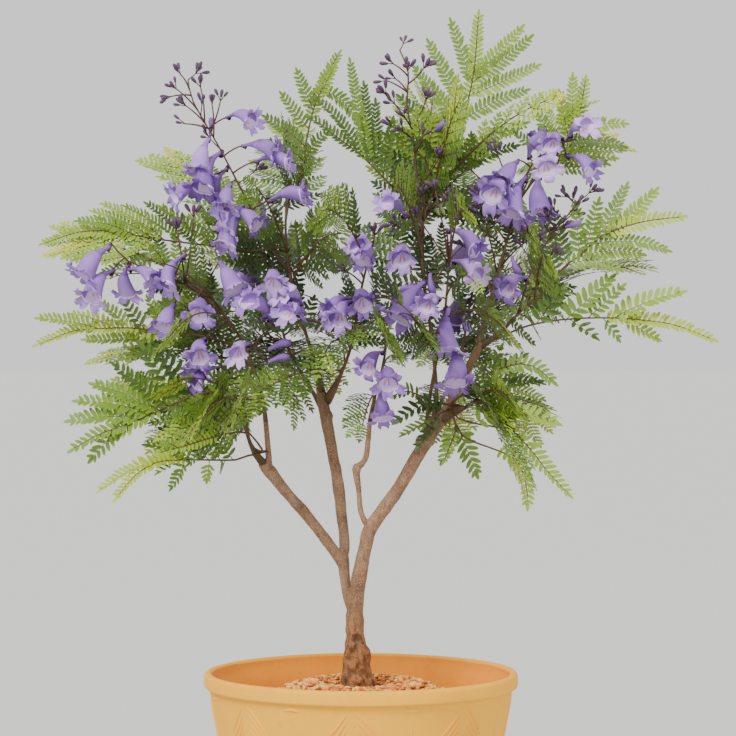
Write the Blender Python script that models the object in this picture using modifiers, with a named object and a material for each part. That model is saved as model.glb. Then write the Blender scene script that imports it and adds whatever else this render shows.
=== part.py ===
"""A dwarf blue jacaranda in flower, standing in a round clay pot.

Metres, +Z up. The origin is the centre of the pot's flat underside, +X is right and -Y is the front.
Places in the tables are in millimetres as (x, z, y): x and z are read on the trunk's own plane, as they
line up for an eye in front of the plant, and y carries the place back (+) or forward (-) along that line
of sight. Every mass of foliage is one solid that keeps to its own space around its own stem.
"""

import math
import random

import bmesh
import bpy
from mathutils import Vector
from mathutils.bvhtree import BVHTree
from mathutils.kdtree import KDTree

MM = 0.001

# --- driving sizes -------------------------------------------------------------------------------------
POT_HEIGHT = 250 * MM
POT_RIM_RADIUS = 150 * MM
POT_MOUTH_RADIUS = 142 * MM
POT_BASE_RADIUS = 101 * MM
POT_BAND_HEIGHT = 14 * MM
POT_BAND_STEP = 5 * MM
POT_LIP = 3.5 * MM
POT_WALL = 9 * MM
POT_FLOOR = 14 * MM
POT_STEPS = 32

SOIL_TOP = 233 * MM
SOIL_EDGE = 210 * MM
SOIL_FLAT_RADIUS = 48 * MM
CLEARANCE = 0.3 * MM

EYE = Vector((6.7 * MM, -2600 * MM, 574 * MM))
UP = Vector((0, 0, 1))
FRONT = Vector((0, -1, 0))

LIMB_STEP = 12 * MM
LIMB_BEVEL_RESOLUTION = 2

TWIG_SIDES = 3
STEM_SIDES = 5
STEM_STEP = 22 * MM
STEM_RADIUS = (2.3 * MM, 1.3 * MM)
AXIS_RADIUS = (1.3 * MM, 0.8 * MM)
RACHIS_RADIUS = (1.0 * MM, 0.7 * MM)
PEDICEL_RADIUS = 0.8 * MM
TWIG_SINK = 0.3 * MM

PINNA_SPACING = 35 * MM
PINNA_WIDTH = 18 * MM
PINNA_THICKNESS = 1.3 * MM
WAIST = 0.42
PINNA_ROOT_SINK = 0.1 * MM
PINNA_ANGLE = (math.radians(66), math.radians(32))
BARE_STALK = 0.24
LAST_PAIR = 0.84

BELL_LENGTH = 40 * MM
SHORTEST_PEDICEL = 4 * MM
BELL_SIDES = 5
BELL_MOUTH_RADIUS = 14 * MM
BELL_THROAT_RADIUS = 6.2 * MM
THROAT = 0.42
BUD_LENGTH = 10 * MM
BUD_RADIUS = 2.6 * MM

SPACE_MARGIN = 1.2 * MM
LIMB_MARGIN = 1.0 * MM
SEED = 11


def place(x, z, y):
    """The point that lines up with (x, z) on the trunk's plane and lies y behind it, all in millimetres."""
    flat = Vector((x, 0, z)) * MM
    return EYE + (flat - EYE) * (1 + y * MM / -EYE.y)


# --- limbs: stations of (x, z, y, radius) in millimetres --------------------------------------------------
LIMBS = {
    "trunk": [
        (-1, 233.3, 0, 16.5), (-1, 242, 0, 14.2), (-0.5, 256, 0, 13.2), (-2.5, 268, 0, 12.2),
        (-5, 280, 0, 9.8), (-6, 293, 1, 8.8), (-6.3, 305, 1, 8.4),
    ],
    "right_bough": [
        (-6, 298, 1, 8.0), (-6.2, 306, 1, 8.0), (-4.8, 319, 0, 7.8), (-2.4, 337, -2, 7.5),
        (4.5, 370, -6, 6.4),
        (9.8, 388, -8, 6.7), (34, 422, -12, 6.4), (53, 454, -14, 6.3), (71, 483, -15, 6.3),
        (78, 494, -15, 5.8),
    ],
    "upper_bough": [
        (74, 487, -15, 4.8), (79, 496, -15, 4.8), (86, 508, -14, 4.8), (99, 533, -11, 4.3), (115, 564, -8, 3.9),
    ],
    "left_stem": [(-4, 300, 3, 5.6), (-11, 318, 8, 5.6), (-15, 337, 10, 5.2), (-17, 358, 12, 5.8)],
    "middle_bough": [
        (-16.4, 350, 11.3, 5.1), (-17, 359, 12.2, 5.2), (-15.8, 372, 14, 5.2), (-18, 395, 18, 5.2),
        (-21, 423, 22, 5.7),
        (-28, 464, 27, 5.4), (-34, 495, 30, 6.0), (-39, 522, 32, 4.4),
    ],
    "left_bough": [
        (-16, 350, 10, 5.0), (-27, 367, 7, 5.4), (-53.5, 401, 4, 5.4), (-72, 422, 2, 5.2),
        (-87, 441, 0, 6.3), (-95, 450, -2, 4.8),
    ],
    "left_shoot": [(-87, 441, 0, 3.0), (-88.5, 458, 2, 3.0), (-91, 489, 4, 2.7)],
    "stub_branch": [
        (8, 386, -9, 2.9), (0, 402, -13, 2.8), (-2.2, 423, -14, 2.7), (-4.4, 443, -15, 3.8),
        (3.8, 452, -16, 3.0), (6.7, 471, -18, 2.7), (9, 493, -20, 2.4),
    ],
}
# Each limb that grows from others starts inside them, and is cut to a saddle around them.
GROWS_FROM = {
    "right_bough": ["trunk"],
    "upper_bough": ["right_bough"],
    "left_stem": ["trunk", "right_bough"],
    "middle_bough": ["left_stem"],
    "left_bough": ["left_stem", "middle_bough"],
    "left_shoot": ["left_bough"],
    "stub_branch": ["right_bough"],
}

# --- masses of foliage ------------------------------------------------------------------------------------
# bough: the limb whose end carries it.        stem: points (x, z, y) from inside that limb outwards.
# axes: flower stalks, each a list of points.  fronds: (place on stem, tip x, z, y, pinna, lean, lift).
# A frond's upper face looks up at a lean of 0 and to the front at 90, or to the back at -90.
# flowers: (calyx x, z, y, mouth x, z, y).     buds: how many closed buds stand along the axes.
MASSES = {
    "low_left_foliage": dict(
        bough="left_bough",
        stem=[(-91, 446, -1), (-101, 458, -7), (-110, 480, -18), (-115, 514, -28)],
        fronds=[
            (1.0, -272, 464, -60, 54, 58, 14), (0.45, -232, 417, -62, 44, 50, 24),
            (0.9, -252, 506, 30, 46, 45, 12), (0.7, -190, 452, 120, 44, -20, 20),
            (0.3, -118, 436, -170, 42, 50, 30), (0.8, -160, 476, -170, 40, 40, 22),
        ],
    ),
    "left_foliage": dict(
        bough="left_shoot",
        stem=[(-90.5, 482, 4), (-96, 520, 6), (-116, 570, 4), (-142, 606, -4)],
        axes=[[(-142, 606, -4), (-185, 628, -8), (-222, 642, -14), (-239, 660, -18)]],
        fronds=[
            (1.0, -299, 659, 22, 42, 52, 20), (0.62, -307, 564, -30, 34, 55, 14),
            (0.45, -257, 548, 60, 34, 20, 12), (0.85, -225, 640, 145, 44, -15, 22),
            (0.7, -190, 560, -170, 40, 60, 25),
        ],
        flowers=[
            (-239, 657, -20, -269, 622, -34), (-237, 633, -14, -261, 601, -40),
            (-222, 640, -12, -222, 606, 6),
            (-168, 648, -14, -187, 612, -30), (-178, 601, -12, -191, 574, -36),
            (-156, 606, -8, -155, 586, -42),
            (-148, 566, -6, -160, 530, -24),
        ],
    ),
    "upper_left_foliage": dict(
        bough="middle_bough",
        stem=[(-38, 517, 31), (-44, 545, 28), (-57, 587, 22), (-68, 630, 14), (-72, 680, 6), (-66, 708, 2)],
        axes=[[
            (-68, 630, 14), (-92, 668, 4), (-112, 706, -4), (-135, 750, -6), (-160, 794, -4), (-165, 815, -2),
        ]],
        fronds=[
            (1.0, -24, 838, 8, 42, 80, -6), (0.95, -12, 752, 105, 40, 40, 10),
            (0.6, -198, 742, 110, 42, 30, 16),
            (0.8, -70, 770, 170, 44, -30, 18), (0.55, -10, 664, -140, 40, 60, 20),
        ],
        flowers=[
            (-128, 779, -8, -104, 775, -26), (-113, 752, -6, -88, 746, -24), (-101, 737, -8, -74, 731, -26),
            (-88, 699, -2, -58, 703, -20), (-146, 739, -6, -161, 716, -22), (-124, 716, -6, -131, 690, -26),
            (-152, 716, 2, -178, 704, -8), (-112, 696, -2, -130, 664, -14),
        ],
        buds=7,
    ),
    "centre_foliage": dict(
        bough="middle_bough",
        stem=[(-33, 508, 31), (-20, 532, 18), (-8, 566, 2), (-2, 604, -10), (6, 640, -14)],
        axes=[[(-8, 566, 2), (-46, 585, -16), (-84, 580, -22), (-104, 560, -22)]],
        fronds=[
            (0.25, -128, 490, -80, 34, 60, 16), (0.45, -44, 520, -185, 38, 50, 24),
            (0.7, 70, 560, -185, 38, 50, 24),
            (1.0, -40, 690, -150, 38, 60, 18),
        ],
        flowers=[
            (-8, 606, -14, -32, 593, -36), (12, 644, -14, -4, 656, -38), (-4, 612, -16, 4, 597, -52),
            (-56, 600, -18, -80, 614, -44), (-56, 590, -18, -74, 592, -48),
            (-104, 562, -22, -117, 550, -52),
            (-84, 582, -20, -112, 606, -48),
        ],
    ),
    "front_foliage": dict(
        bough="stub_branch",
        stem=[(8.6, 489, -20), (13, 512, -30), (20, 538, -42), (24, 560, -50)],
        fronds=[
            (0.3, -60, 462, -170, 34, 50, 22), (0.5, 70, 468, -195, 36, 50, 24),
            (0.9, 26, 560, -230, 34, 55, 16),
        ],
        flowers=[
            (22, 556, -52, 5, 538, -74), (25, 540, -46, 26, 520, -80), (17, 522, -36, 21, 488, -50),
        ],
    ),
    "top_foliage": dict(
        bough="right_bough",
        stem=[(70, 482, -13), (72, 520, -6), (66, 580, 0), (58, 640, 2), (62, 690, 2), (84, 722, 2)],
        axes=[[(60, 665, 2), (54, 715, -2), (50, 758, -4), (44, 790, -4), (45, 822, -2), (37, 843, 0)]],
        fronds=[
            (1.0, 113, 873, 0, 64, 84, 0), (0.86, -47, 779, -10, 46, 66, 12),
            (0.97, 190, 799, -40, 15, 60, 14),
            (0.8, 70, 812, 125, 48, -50, 12), (0.7, -10, 742, 160, 44, -30, 18),
            (0.66, 30, 716, -160, 38, 60, 18),
        ],
        flowers=[(42, 683, -4, 22, 699, -28), (44, 654, -4, 38, 640, -42), (50, 618, -2, 46, 600, -40)],
        buds=9,
    ),
    "upper_right_foliage": dict(
        bough="upper_bough",
        stem=[(112, 558, -8), (122, 600, -4), (136, 650, 0), (154, 704, 4), (180, 734, 6)],
        axes=[[(143, 674, 0), (152, 706, -8), (164, 736, -12), (186, 754, -10), (206, 758, -8)]],
        fronds=[
            (1.0, 216, 812, 10, 44, 80, 2), (0.9, 252, 752, 60, 38, 40, 14),
            (0.75, 190, 740, 160, 42, -20, 20),
            (0.6, 60, 720, 105, 38, 40, 14),
        ],
        flowers=[
            (150, 738, -12, 131, 714, -34), (144, 716, -8, 120, 702, -44), (158, 724, -12, 144, 681, -28),
            (170, 724, -12, 172, 682, -30), (176, 738, -12, 178, 728, -46), (196, 742, -10, 216, 730, -24),
            (196, 757, -8, 210, 765, -26), (160, 740, 6, 176, 760, 34),
        ],
    ),
    "right_foliage": dict(
        bough="upper_bough",
        stem=[(113, 560, -8), (134, 574, -10), (150, 592, -12), (172, 610, -12)],
        axes=[[(150, 592, -12), (163, 634, -16), (180, 664, -18), (210, 701, -16)]],
        fronds=[
            (1.0, 304, 682, -14, 44, 76, 8), (0.25, 334, 568, -20, 32, 50, 34),
            (0.8, 268, 630, 120, 42, -10, 20),
            (0.9, 230, 622, -170, 38, 55, 20), (0.5, 220, 560, 70, 36, 10, 16),
        ],
        flowers=[(160, 626, -18, 136, 612, -44)],
        buds=7,
    ),
    "low_right_foliage": dict(
        bough="right_bough",
        stem=[(75, 489, -15), (90, 497, -24), (102, 503, -36), (112, 512, -48)],
        fronds=[
            (0.9, 197, 424, -80, 40, 52, 40), (0.6, 158, 412, -150, 40, 52, 36),
            (1.0, 184, 530, -60, 36, 50, 16),
            (0.35, 104, 430, -195, 32, 50, 26), (0.75, 182, 486, 30, 34, 40, 16),
            (0.45, 36, 478, -125, 30, 50, 16),
        ],
    ),
    "front_right_foliage": dict(
        bough="right_bough",
        stem=[(62, 469, -14), (64, 500, -34), (72, 548, -46), (80, 592, -48), (84, 640, -46)],
        fronds=[
            (0.5, 30, 590, -195, 34, 60, 16), (0.7, 150, 560, -195, 36, 55, 20), (1.0, 100, 690, -170, 36, 60, 18),
        ],
        flowers=[
            (84, 598, -50, 83, 550, -60), (88, 560, -44, 91, 518, -66), (60, 622, -50, 33, 579, -66),
            (82, 672, -44, 114, 648, -64), (86, 642, -46, 114, 624, -70), (76, 606, -52, 60, 596, -82),
        ],
    ),
    "back_left_foliage": dict(
        bough="middle_bough",
        stem=[(-36, 500, 31), (-50, 524, 60), (-70, 560, 96), (-84, 610, 124)],
        axes=[[(-84, 610, 124), (-92, 650, 136), (-96, 690, 146)]],
        fronds=[
            (1.0, -150, 640, 255, 44, -50, 20), (0.8, -190, 560, 220, 44, -40, 22),
            (0.55, -140, 470, 205, 40, -40, 26),
            (0.7, 20, 560, 240, 40, -40, 22), (0.4, -10, 470, 195, 38, -40, 24),
        ],
        flowers=[
            (-92, 650, 138, -110, 622, 166), (-92, 668, 140, -66, 650, 168),
            (-95, 688, 146, -112, 690, 176),
            (-84, 610, 126, -70, 586, 158),
        ],
        buds=3,
    ),
    "back_right_foliage": dict(
        bough="right_bough",
        stem=[(66, 474, -13), (74, 502, 22), (92, 540, 66), (104, 600, 100)],
        axes=[[(104, 600, 100), (112, 640, 116), (122, 684, 126)]],
        fronds=[
            (1.0, 190, 640, 230, 44, -50, 20), (0.8, 230, 560, 185, 44, -40, 22),
            (0.6, 170, 468, 170, 40, -40, 26),
            (0.7, 70, 540, 265, 40, -50, 22), (0.45, 84, 462, 185, 38, -40, 24),
        ],
        flowers=[
            (112, 640, 118, 134, 612, 148), (114, 658, 120, 92, 640, 156), (121, 680, 126, 142, 684, 158),
            (104, 606, 104, 88, 584, 140),
        ],
        buds=3,
    ),
}

# --- colours (base colour, roughness) -----------------------------------------------------------------------
FINISHES = {
    "clay": ((0.71, 0.46, 0.19), 0.75),
    "gravel": ((0.80, 0.46, 0.28), 0.9),
    "bark": ((0.28, 0.16, 0.09), 0.9),
    "foliage": ((0.13, 0.22, 0.03), 0.55),
}


def material(finish):
    colour, roughness = FINISHES[finish]
    made = bpy.data.materials.get(finish) or bpy.data.materials.new(finish)
    made.use_nodes = True
    shader = made.node_tree.nodes["Principled BSDF"]
    shader.inputs["Base Color"].default_value = (*colour, 1)
    shader.inputs["Roughness"].default_value = roughness
    shader.inputs["Metallic"].default_value = 0
    return made


def new_object(name, mesh, collection, finish=None):
    obj = bpy.data.objects.new(name, mesh)
    collection.objects.link(obj)
    if finish:
        mesh.materials.clear()
        mesh.materials.append(material(finish))
    return obj


# --- curves in space -----------------------------------------------------------------------------------------
def smooth_route(stations, step):
    """Points about one step apart on a Catmull-Rom curve through the stations, all of them tuples."""
    route = []
    ends = [stations[0], *stations, stations[-1]]
    for before, start, end, after in zip(ends, ends[1:], ends[2:], ends[3:]):
        length = math.dist(start[:3], end[:3])
        count = max(1, round(length / step))
        for index in range(count):
            t = index / count
            route.append(tuple(
                0.5 * (2 * b + (c - a) * t + (2 * a - 5 * b + 4 * c - d) * t**2 + (3 * b - a - 3 * c + d) * t**3)
                for a, b, c, d in zip(before, start, end, after)
            ))
    return [*route, tuple(stations[-1])]


def along(points, share):
    """The point that lies at this share of the whole length of a run of points."""
    lengths = [(b - a).length for a, b in zip(points, points[1:])]
    left = share * sum(lengths)
    for start, end, length in zip(points, points[1:], lengths):
        if left <= length:
            return start.lerp(end, left / length)
        left -= length
    return points[-1].copy()


# --- small closed shapes ----------------------------------------------------------------------------------------
def loft(rings):
    """One closed body through rings of equal size; a ring of one point is a tip, any other end is capped."""
    bm = bmesh.new()
    rows = [[bm.verts.new(point) for point in ring] for ring in rings]
    for low, high in zip(rows, rows[1:]):
        sides = max(len(low), len(high))
        for index in range(sides):
            corners = [low[index % len(low)], low[(index + 1) % sides % len(low)]]
            corners += [high[(index + 1) % sides % len(high)], high[index % len(high)]]
            bm.faces.new(list(dict.fromkeys(corners)))
    for end in (rows[0], rows[-1]):
        if len(end) > 1:
            bm.faces.new(end)
    bmesh.ops.recalc_face_normals(bm, faces=bm.faces[:])
    bmesh.ops.triangulate(bm, faces=bm.faces[:])
    return bm


def ring(centre, along_axis, across, radius, sides):
    """A regular ring of points around an axis, with its first corner towards across."""
    first = (across - along_axis * across.dot(along_axis)).normalized()
    second = along_axis.cross(first)
    turns = [2 * math.pi * index / sides for index in range(sides)]
    return [centre + (first * math.cos(turn) + second * math.sin(turn)) * radius for turn in turns]


def rod(points, radii, sides):
    """A tapering rod along a run of points."""
    across = (points[-1] - points[0]).orthogonal()
    last = len(points) - 1
    rings = []
    for index, point in enumerate(points):
        heading = (points[min(index + 1, last)] - points[max(index - 1, 0)]).normalized()
        radius = radii[0] + (radii[1] - radii[0]) * index / last
        rings.append(ring(point, heading, across, radius, sides))
    return loft(rings)


def blade(root, tip, side, width):
    """A flat leaf blade of eight faces, pointed at both ends."""
    face = (tip - root).cross(side).normalized()
    waist = root.lerp(tip, WAIST)
    half_wide, half_thick = side * width / 2, face * PINNA_THICKNESS / 2
    middle = [waist + half_wide, waist + half_thick, waist - half_wide, waist - half_thick]
    return loft([[root], middle, [tip]])


def bell(root, calyx, mouth):
    """A trumpet flower on its stalk: a narrow throat, a flared mouth and a hollow in the mouth."""
    heading = (mouth - calyx).normalized()
    across = heading.orthogonal().normalized()
    stalk = (calyx - root).normalized()
    foot = ring(root - stalk * TWIG_SINK, stalk, across, PEDICEL_RADIUS, BELL_SIDES)
    base = ring(calyx, (heading + stalk).normalized(), across, PEDICEL_RADIUS * 1.3, BELL_SIDES)
    throat = ring(calyx.lerp(mouth, THROAT), heading, across, BELL_THROAT_RADIUS, BELL_SIDES)
    flare = ring(mouth, heading, across, BELL_MOUTH_RADIUS, BELL_SIDES)
    return loft([foot, base, throat, flare, [calyx.lerp(mouth, 0.66)]])


def bud(root, foot, tip):
    """A closed bud on its stalk."""
    stalk = (foot - root).normalized()
    across = stalk.orthogonal()
    start = ring(root - stalk * TWIG_SINK, stalk, across, PEDICEL_RADIUS, TWIG_SIDES)
    base = ring(foot, stalk, across, PEDICEL_RADIUS, TWIG_SIDES)
    belly = ring(foot.lerp(tip, 0.6), (tip - foot).normalized(), across, BUD_RADIUS, TWIG_SIDES)
    return loft([start, base, belly, [tip]])


# --- how a mass grows: every piece is (kind, points it must keep inside its space, maker) --------------------
def stem_of(mass):
    return [Vector(p) for p in smooth_route([tuple(place(*p)) for p in mass["stem"]], STEM_STEP)]


def axes_of(mass):
    axes = []
    for stations in mass.get("axes", []):
        points = [tuple(place(*p)) for p in stations]
        axes.append([Vector(p) for p in smooth_route(points, STEM_STEP)])
    return axes


def rachis_of(stem, row):
    """The midrib of a frond: from its place on the stem it rises by its lift, and bends down to its tip."""
    share, x, z, y, pinna, lean, lift = row
    root = along(stem, min(share, 0.985))
    tip = place(x, z, y)
    middle = root.lerp(tip, 0.5) + UP * 2 * lift * MM
    length = (tip - root).length
    steps = max(3, round(length / (42 * MM)))
    reach = 1 - 0.7 * pinna * MM / length
    shares = [reach * index / steps for index in range(steps + 1)]
    return [root * (1 - t) ** 2 + middle * 2 * t * (1 - t) + tip * t**2 for t in shares], tip


def skeleton_of(mass):
    """Points along the stem, the flower stalks and the midribs: a mass owns the space nearest to these."""
    stem = stem_of(mass)
    runs = [stem, *axes_of(mass)]
    for row in mass["fronds"]:
        rachis, tip = rachis_of(stem, row)
        runs.append([*rachis, tip])
    for row in mass.get("flowers", []):
        runs.append([place(*row[:3]), place(*row[3:])])
    points = []
    for run in runs:
        for start, end in zip(run, run[1:]):
            count = max(1, round((end - start).length / (4 * MM)))
            points += [start.lerp(end, index / count) for index in range(count)]
        points.append(run[-1])
    return points


def tree_of(points):
    tree = KDTree(len(points))
    for index, point in enumerate(points):
        tree.insert(point, index)
    tree.balance()
    return tree


class Space:
    """Says whether points lie in a mass's own space, clear of the other masses and of every limb."""

    def __init__(self):
        self.skeletons = {name: tree_of(skeleton_of(mass)) for name, mass in MASSES.items()}
        self.limbs = []
        for stations in LIMBS.values():
            for x, z, y, radius in smooth_route([(*place(*s[:3]), s[3]) for s in stations], 4 * MM):
                self.limbs.append((Vector((x, z, y)), radius * MM))
        self.limb_tree = tree_of([point for point, _ in self.limbs])

    def holds(self, name, points):
        for point in points:
            own = self.skeletons[name].find(point)[2]
            for other, tree in self.skeletons.items():
                if other != name and tree.find(point)[2] < own + SPACE_MARGIN:
                    return False
            for _, index, distance in self.limb_tree.find_n(point, 4):
                if distance < self.limbs[index][1] + LIMB_MARGIN:
                    return False
        return True


def samples(start, end, side, width):
    """Points over a flat piece, for the test of its space."""
    points = []
    for index in range(1, 7):
        t = index / 6
        spread = width / 2 * min(t / WAIST, (1 - t) / (1 - WAIST))
        centre = start.lerp(end, t)
        points += [centre, centre + side * spread, centre - side * spread]
    return points


class Growth:
    """The pieces of one mass so far. A blade or a bud that would cut through an earlier one is skipped."""

    def __init__(self, space, name):
        self.space = space
        self.name = name
        self.pieces = []
        self.earlier = []
        self.fresh = []

    def add(self, points, make, *sizes, firm=False):
        if not self.space.holds(self.name, points):
            return False
        piece = make(*sizes)
        tree = BVHTree.FromBMesh(piece)
        if not firm and any(tree.overlap(other) for other in self.earlier):
            piece.free()
            return False
        self.pieces.append(piece)
        self.fresh.append(tree)
        return True

    def close_group(self):
        self.earlier += self.fresh
        self.fresh = []


def frond(growth, stem, row):
    """The rod of a frond's midrib and its paired blades, with a last blade at the end."""
    pinna, lean = row[4] * MM, math.radians(row[5])
    rachis, tip = rachis_of(stem, row)
    if not growth.add(rachis[2:], rod, rachis, RACHIS_RADIUS, TWIG_SIDES, firm=True):
        return
    face = UP * math.cos(lean) + FRONT * math.sin(lean)
    length = sum((b - a).length for a, b in zip(rachis, rachis[1:]))
    pairs = max(3, round(length * (LAST_PAIR - BARE_STALK) / PINNA_SPACING) + 1)
    for pair in range(pairs):
        share = pair / (pairs - 1)
        place_on = BARE_STALK + (LAST_PAIR - BARE_STALK) * share
        root = along(rachis, place_on)
        heading = (along(rachis, min(1, place_on + 0.05)) - along(rachis, place_on - 0.05)).normalized()
        side = heading.cross(face).normalized()
        normal = side.cross(heading)
        angle = PINNA_ANGLE[0] + (PINNA_ANGLE[1] - PINNA_ANGLE[0]) * share
        reach = pinna * (0.72 + 0.28 * math.sin(math.pi * (0.12 + 0.78 * share)))
        for hand in (-1, 1):
            course = heading * math.cos(angle) + side * hand * math.sin(angle) + normal * 0.08
            course.normalize()
            across = course.cross(normal).normalized()
            end = root + course * reach
            start = root - course * PINNA_ROOT_SINK
            width = min(PINNA_WIDTH, reach * 0.5)
            growth.add(samples(start, end, across, width)[3:], blade, start, end, across, width)
    heading = (rachis[-1] - rachis[-2]).normalized()
    side = heading.cross(face).normalized()
    start = rachis[-1] - heading * 0.8 * MM
    width = PINNA_WIDTH * 0.8
    growth.add(samples(start, tip, side, width), blade, start, tip, side, width)
    growth.close_group()


def nearest_on(runs, point):
    """The point on these runs of points that is nearest to a given one."""
    best = None
    for run in runs:
        for start, end in zip(run, run[1:]):
            course = end - start
            share = max(0, min(1, (point - start).dot(course) / course.length_squared))
            found = start + course * share
            if best is None or (found - point).length < (best - point).length:
                best = found
    return best


def flower(growth, runs, row):
    calyx, mouth = place(*row[:3]), place(*row[3:])
    heading = (mouth - calyx).normalized()
    mouth = calyx + heading * max((mouth - calyx).length, 0.85 * BELL_LENGTH)
    root = nearest_on(runs, calyx)
    if (calyx - root).length < SHORTEST_PEDICEL:
        calyx = root + (calyx - root + heading * MM).normalized() * SHORTEST_PEDICEL
    across = heading.orthogonal().normalized()
    rim = ring(mouth, heading, across, BELL_MOUTH_RADIUS, 8)
    waist = ring(calyx.lerp(mouth, THROAT), heading, across, BELL_THROAT_RADIUS, 8)
    growth.add([*rim, *waist, calyx, calyx.lerp(mouth, 0.7)], bell, root, calyx, mouth, firm=True)


def buds(growth, axis, count, chance):
    """Closed buds that stand off the outer part of a flower stalk, each on a short stalk of its own."""
    for index in range(count):
        share = 0.35 + 0.6 * (index + 1) / count
        root = along(axis, share)
        turn = 2.4 * index + chance.uniform(-0.4, 0.4)
        course = Vector((math.cos(turn), math.sin(turn) * 0.7, 0.75)).normalized()
        foot = root + course * (26 - 18 * share) * MM
        tip = foot + (course + UP * 0.4).normalized() * BUD_LENGTH
        growth.add([foot, tip], bud, root, foot, tip)


def pieces_of(space, name, mass):
    chance = random.Random(SEED + list(MASSES).index(name))
    growth = Growth(space, name)
    stem = stem_of(mass)
    axes = axes_of(mass)
    for axis in axes:
        growth.add([], rod, axis, AXIS_RADIUS, TWIG_SIDES, firm=True)
    for row in mass.get("flowers", []):
        flower(growth, [stem[2:], *axes], row)
    growth.close_group()
    for axis in axes:
        buds(growth, axis, mass.get("buds", 0), chance)
    growth.close_group()
    for row in mass["fronds"]:
        frond(growth, stem, row)
    return growth.pieces


# --- Booleans ----------------------------------------------------------------------------------------------------
def mesh_from(bm, name):
    mesh = bpy.data.meshes.new(name)
    bm.to_mesh(mesh)
    bm.free()
    return mesh


def applied(obj):
    """A new mesh of the object as its modifiers leave it."""
    bpy.context.view_layer.update()
    graph = bpy.context.evaluated_depsgraph_get()
    return bpy.data.meshes.new_from_object(obj.evaluated_get(graph), depsgraph=graph)


def boolean(obj, operation, other):
    """Applies one Boolean with an object or with a whole collection."""
    modifier = obj.modifiers.new(operation.lower(), "BOOLEAN")
    modifier.operation = operation
    modifier.solver = "EXACT"
    if isinstance(other, bpy.types.Collection):
        modifier.operand_type = "COLLECTION"
        modifier.collection = other
    else:
        modifier.object = other
    result = applied(obj)
    obj.modifiers.clear()
    finish = list(obj.data.materials)
    obj.data = result
    obj.data.materials.clear()
    for one in finish:
        obj.data.materials.append(one)


def keep_largest(obj):
    """Drops sealed hollows and loose scraps: only the body of the largest volume stays."""
    bm = bmesh.new()
    bm.from_mesh(obj.data)
    left = set(bm.faces)
    bodies = []
    while left:
        edge_front = [left.pop()]
        body = set(edge_front)
        while edge_front:
            face = edge_front.pop()
            for edge in face.edges:
                for near in edge.link_faces:
                    if near in left:
                        left.discard(near)
                        body.add(near)
                        edge_front.append(near)
        bodies.append(body)

    def volume(body):
        total = 0
        for face in body:
            corners = [vert.co for vert in face.verts]
            for second, third in zip(corners[1:], corners[2:]):
                total += corners[0].dot(second.cross(third)) / 6
        return total

    bodies.sort(key=volume)
    spare = [face for body in bodies[:-1] for face in body]
    bmesh.ops.delete(bm, geom=spare, context="FACES")
    bm.to_mesh(obj.data)
    bm.free()


# --- the pieces ------------------------------------------------------------------------------------------------------
def turned(name, profile, collection, finish, steps=POT_STEPS):
    """A turned body: a profile of (radius, height), from the axis round its outer side and back, spun in full."""
    mesh = bpy.data.meshes.new(name)
    edges = [(index, index + 1) for index in range(len(profile) - 1)]
    mesh.from_pydata([(radius, 0, height) for radius, height in profile], edges, [])
    obj = new_object(name, mesh, collection, finish)
    screw = obj.modifiers.new("turn", "SCREW")
    screw.steps = screw.render_steps = steps
    screw.use_merge_vertices = True
    screw.merge_threshold = 0.00005
    obj.data = applied(obj)
    obj.modifiers.clear()
    obj.data.materials.clear()
    obj.data.materials.append(material(finish))
    obj.data.shade_smooth()
    obj.data.set_sharp_from_angle(angle=math.radians(35))
    return obj


def outer_radius(height):
    """The radius of the pot's tapered body at a height."""
    share = height / (POT_HEIGHT - POT_BAND_HEIGHT)
    return POT_BASE_RADIUS + (POT_RIM_RADIUS - POT_BAND_STEP - POT_BASE_RADIUS) * share


def inner_radius(height):
    return outer_radius(height) - POT_WALL


def arc(centre_radius, centre_height, radius, start, end, count):
    """Points of (radius, height) on an arc in the turning plane, angles in degrees."""
    angles = [math.radians(start + (end - start) * index / (count - 1)) for index in range(count)]
    return [(centre_radius + radius * math.cos(a), centre_height + radius * math.sin(a)) for a in angles]


def make_pot(collection):
    band = POT_HEIGHT - POT_BAND_HEIGHT
    lip_outer = arc(POT_RIM_RADIUS - POT_LIP, POT_HEIGHT - POT_LIP, POT_LIP, 0, 90, 4)
    lip_inner = arc(POT_MOUTH_RADIUS + POT_LIP * 0.6, POT_HEIGHT - POT_LIP * 0.6, POT_LIP * 0.6, 90, 180, 3)
    profile = [
        (0, POT_FLOOR),
        (inner_radius(POT_FLOOR) - 6 * MM, POT_FLOOR),
        (inner_radius(POT_FLOOR + 6 * MM), POT_FLOOR + 6 * MM),
        (inner_radius(band), band),
        (POT_MOUTH_RADIUS, POT_HEIGHT - 6 * MM),
        *reversed(lip_inner),
        *reversed(lip_outer),
        (POT_RIM_RADIUS, band + 2 * MM),
        (POT_RIM_RADIUS - 1.5 * MM, band),
        (outer_radius(band), band - 1 * MM),
        (POT_BASE_RADIUS + 0.5 * MM, 3 * MM),
        (POT_BASE_RADIUS - 2 * MM, 0),
        (0, 0),
    ]
    return turned("pot", profile, collection, "clay")


def make_soil(collection):
    """Soil and its gravel: it fills the pot, flat around the trunk and falling to the wall."""
    edge = inner_radius(SOIL_EDGE) - CLEARANCE
    floor = POT_FLOOR + CLEARANCE
    profile = [
        (0, SOIL_TOP),
        (SOIL_FLAT_RADIUS, SOIL_TOP),
        (SOIL_FLAT_RADIUS + (edge - SOIL_FLAT_RADIUS) * 0.5, SOIL_TOP - (SOIL_TOP - SOIL_EDGE) * 0.4),
        (edge, SOIL_EDGE),
        (inner_radius(floor + 8 * MM) - CLEARANCE, floor + 8 * MM),
        (inner_radius(floor) - 8 * MM, floor),
        (0, floor),
    ]
    return turned("soil", profile, collection, "gravel")


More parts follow.
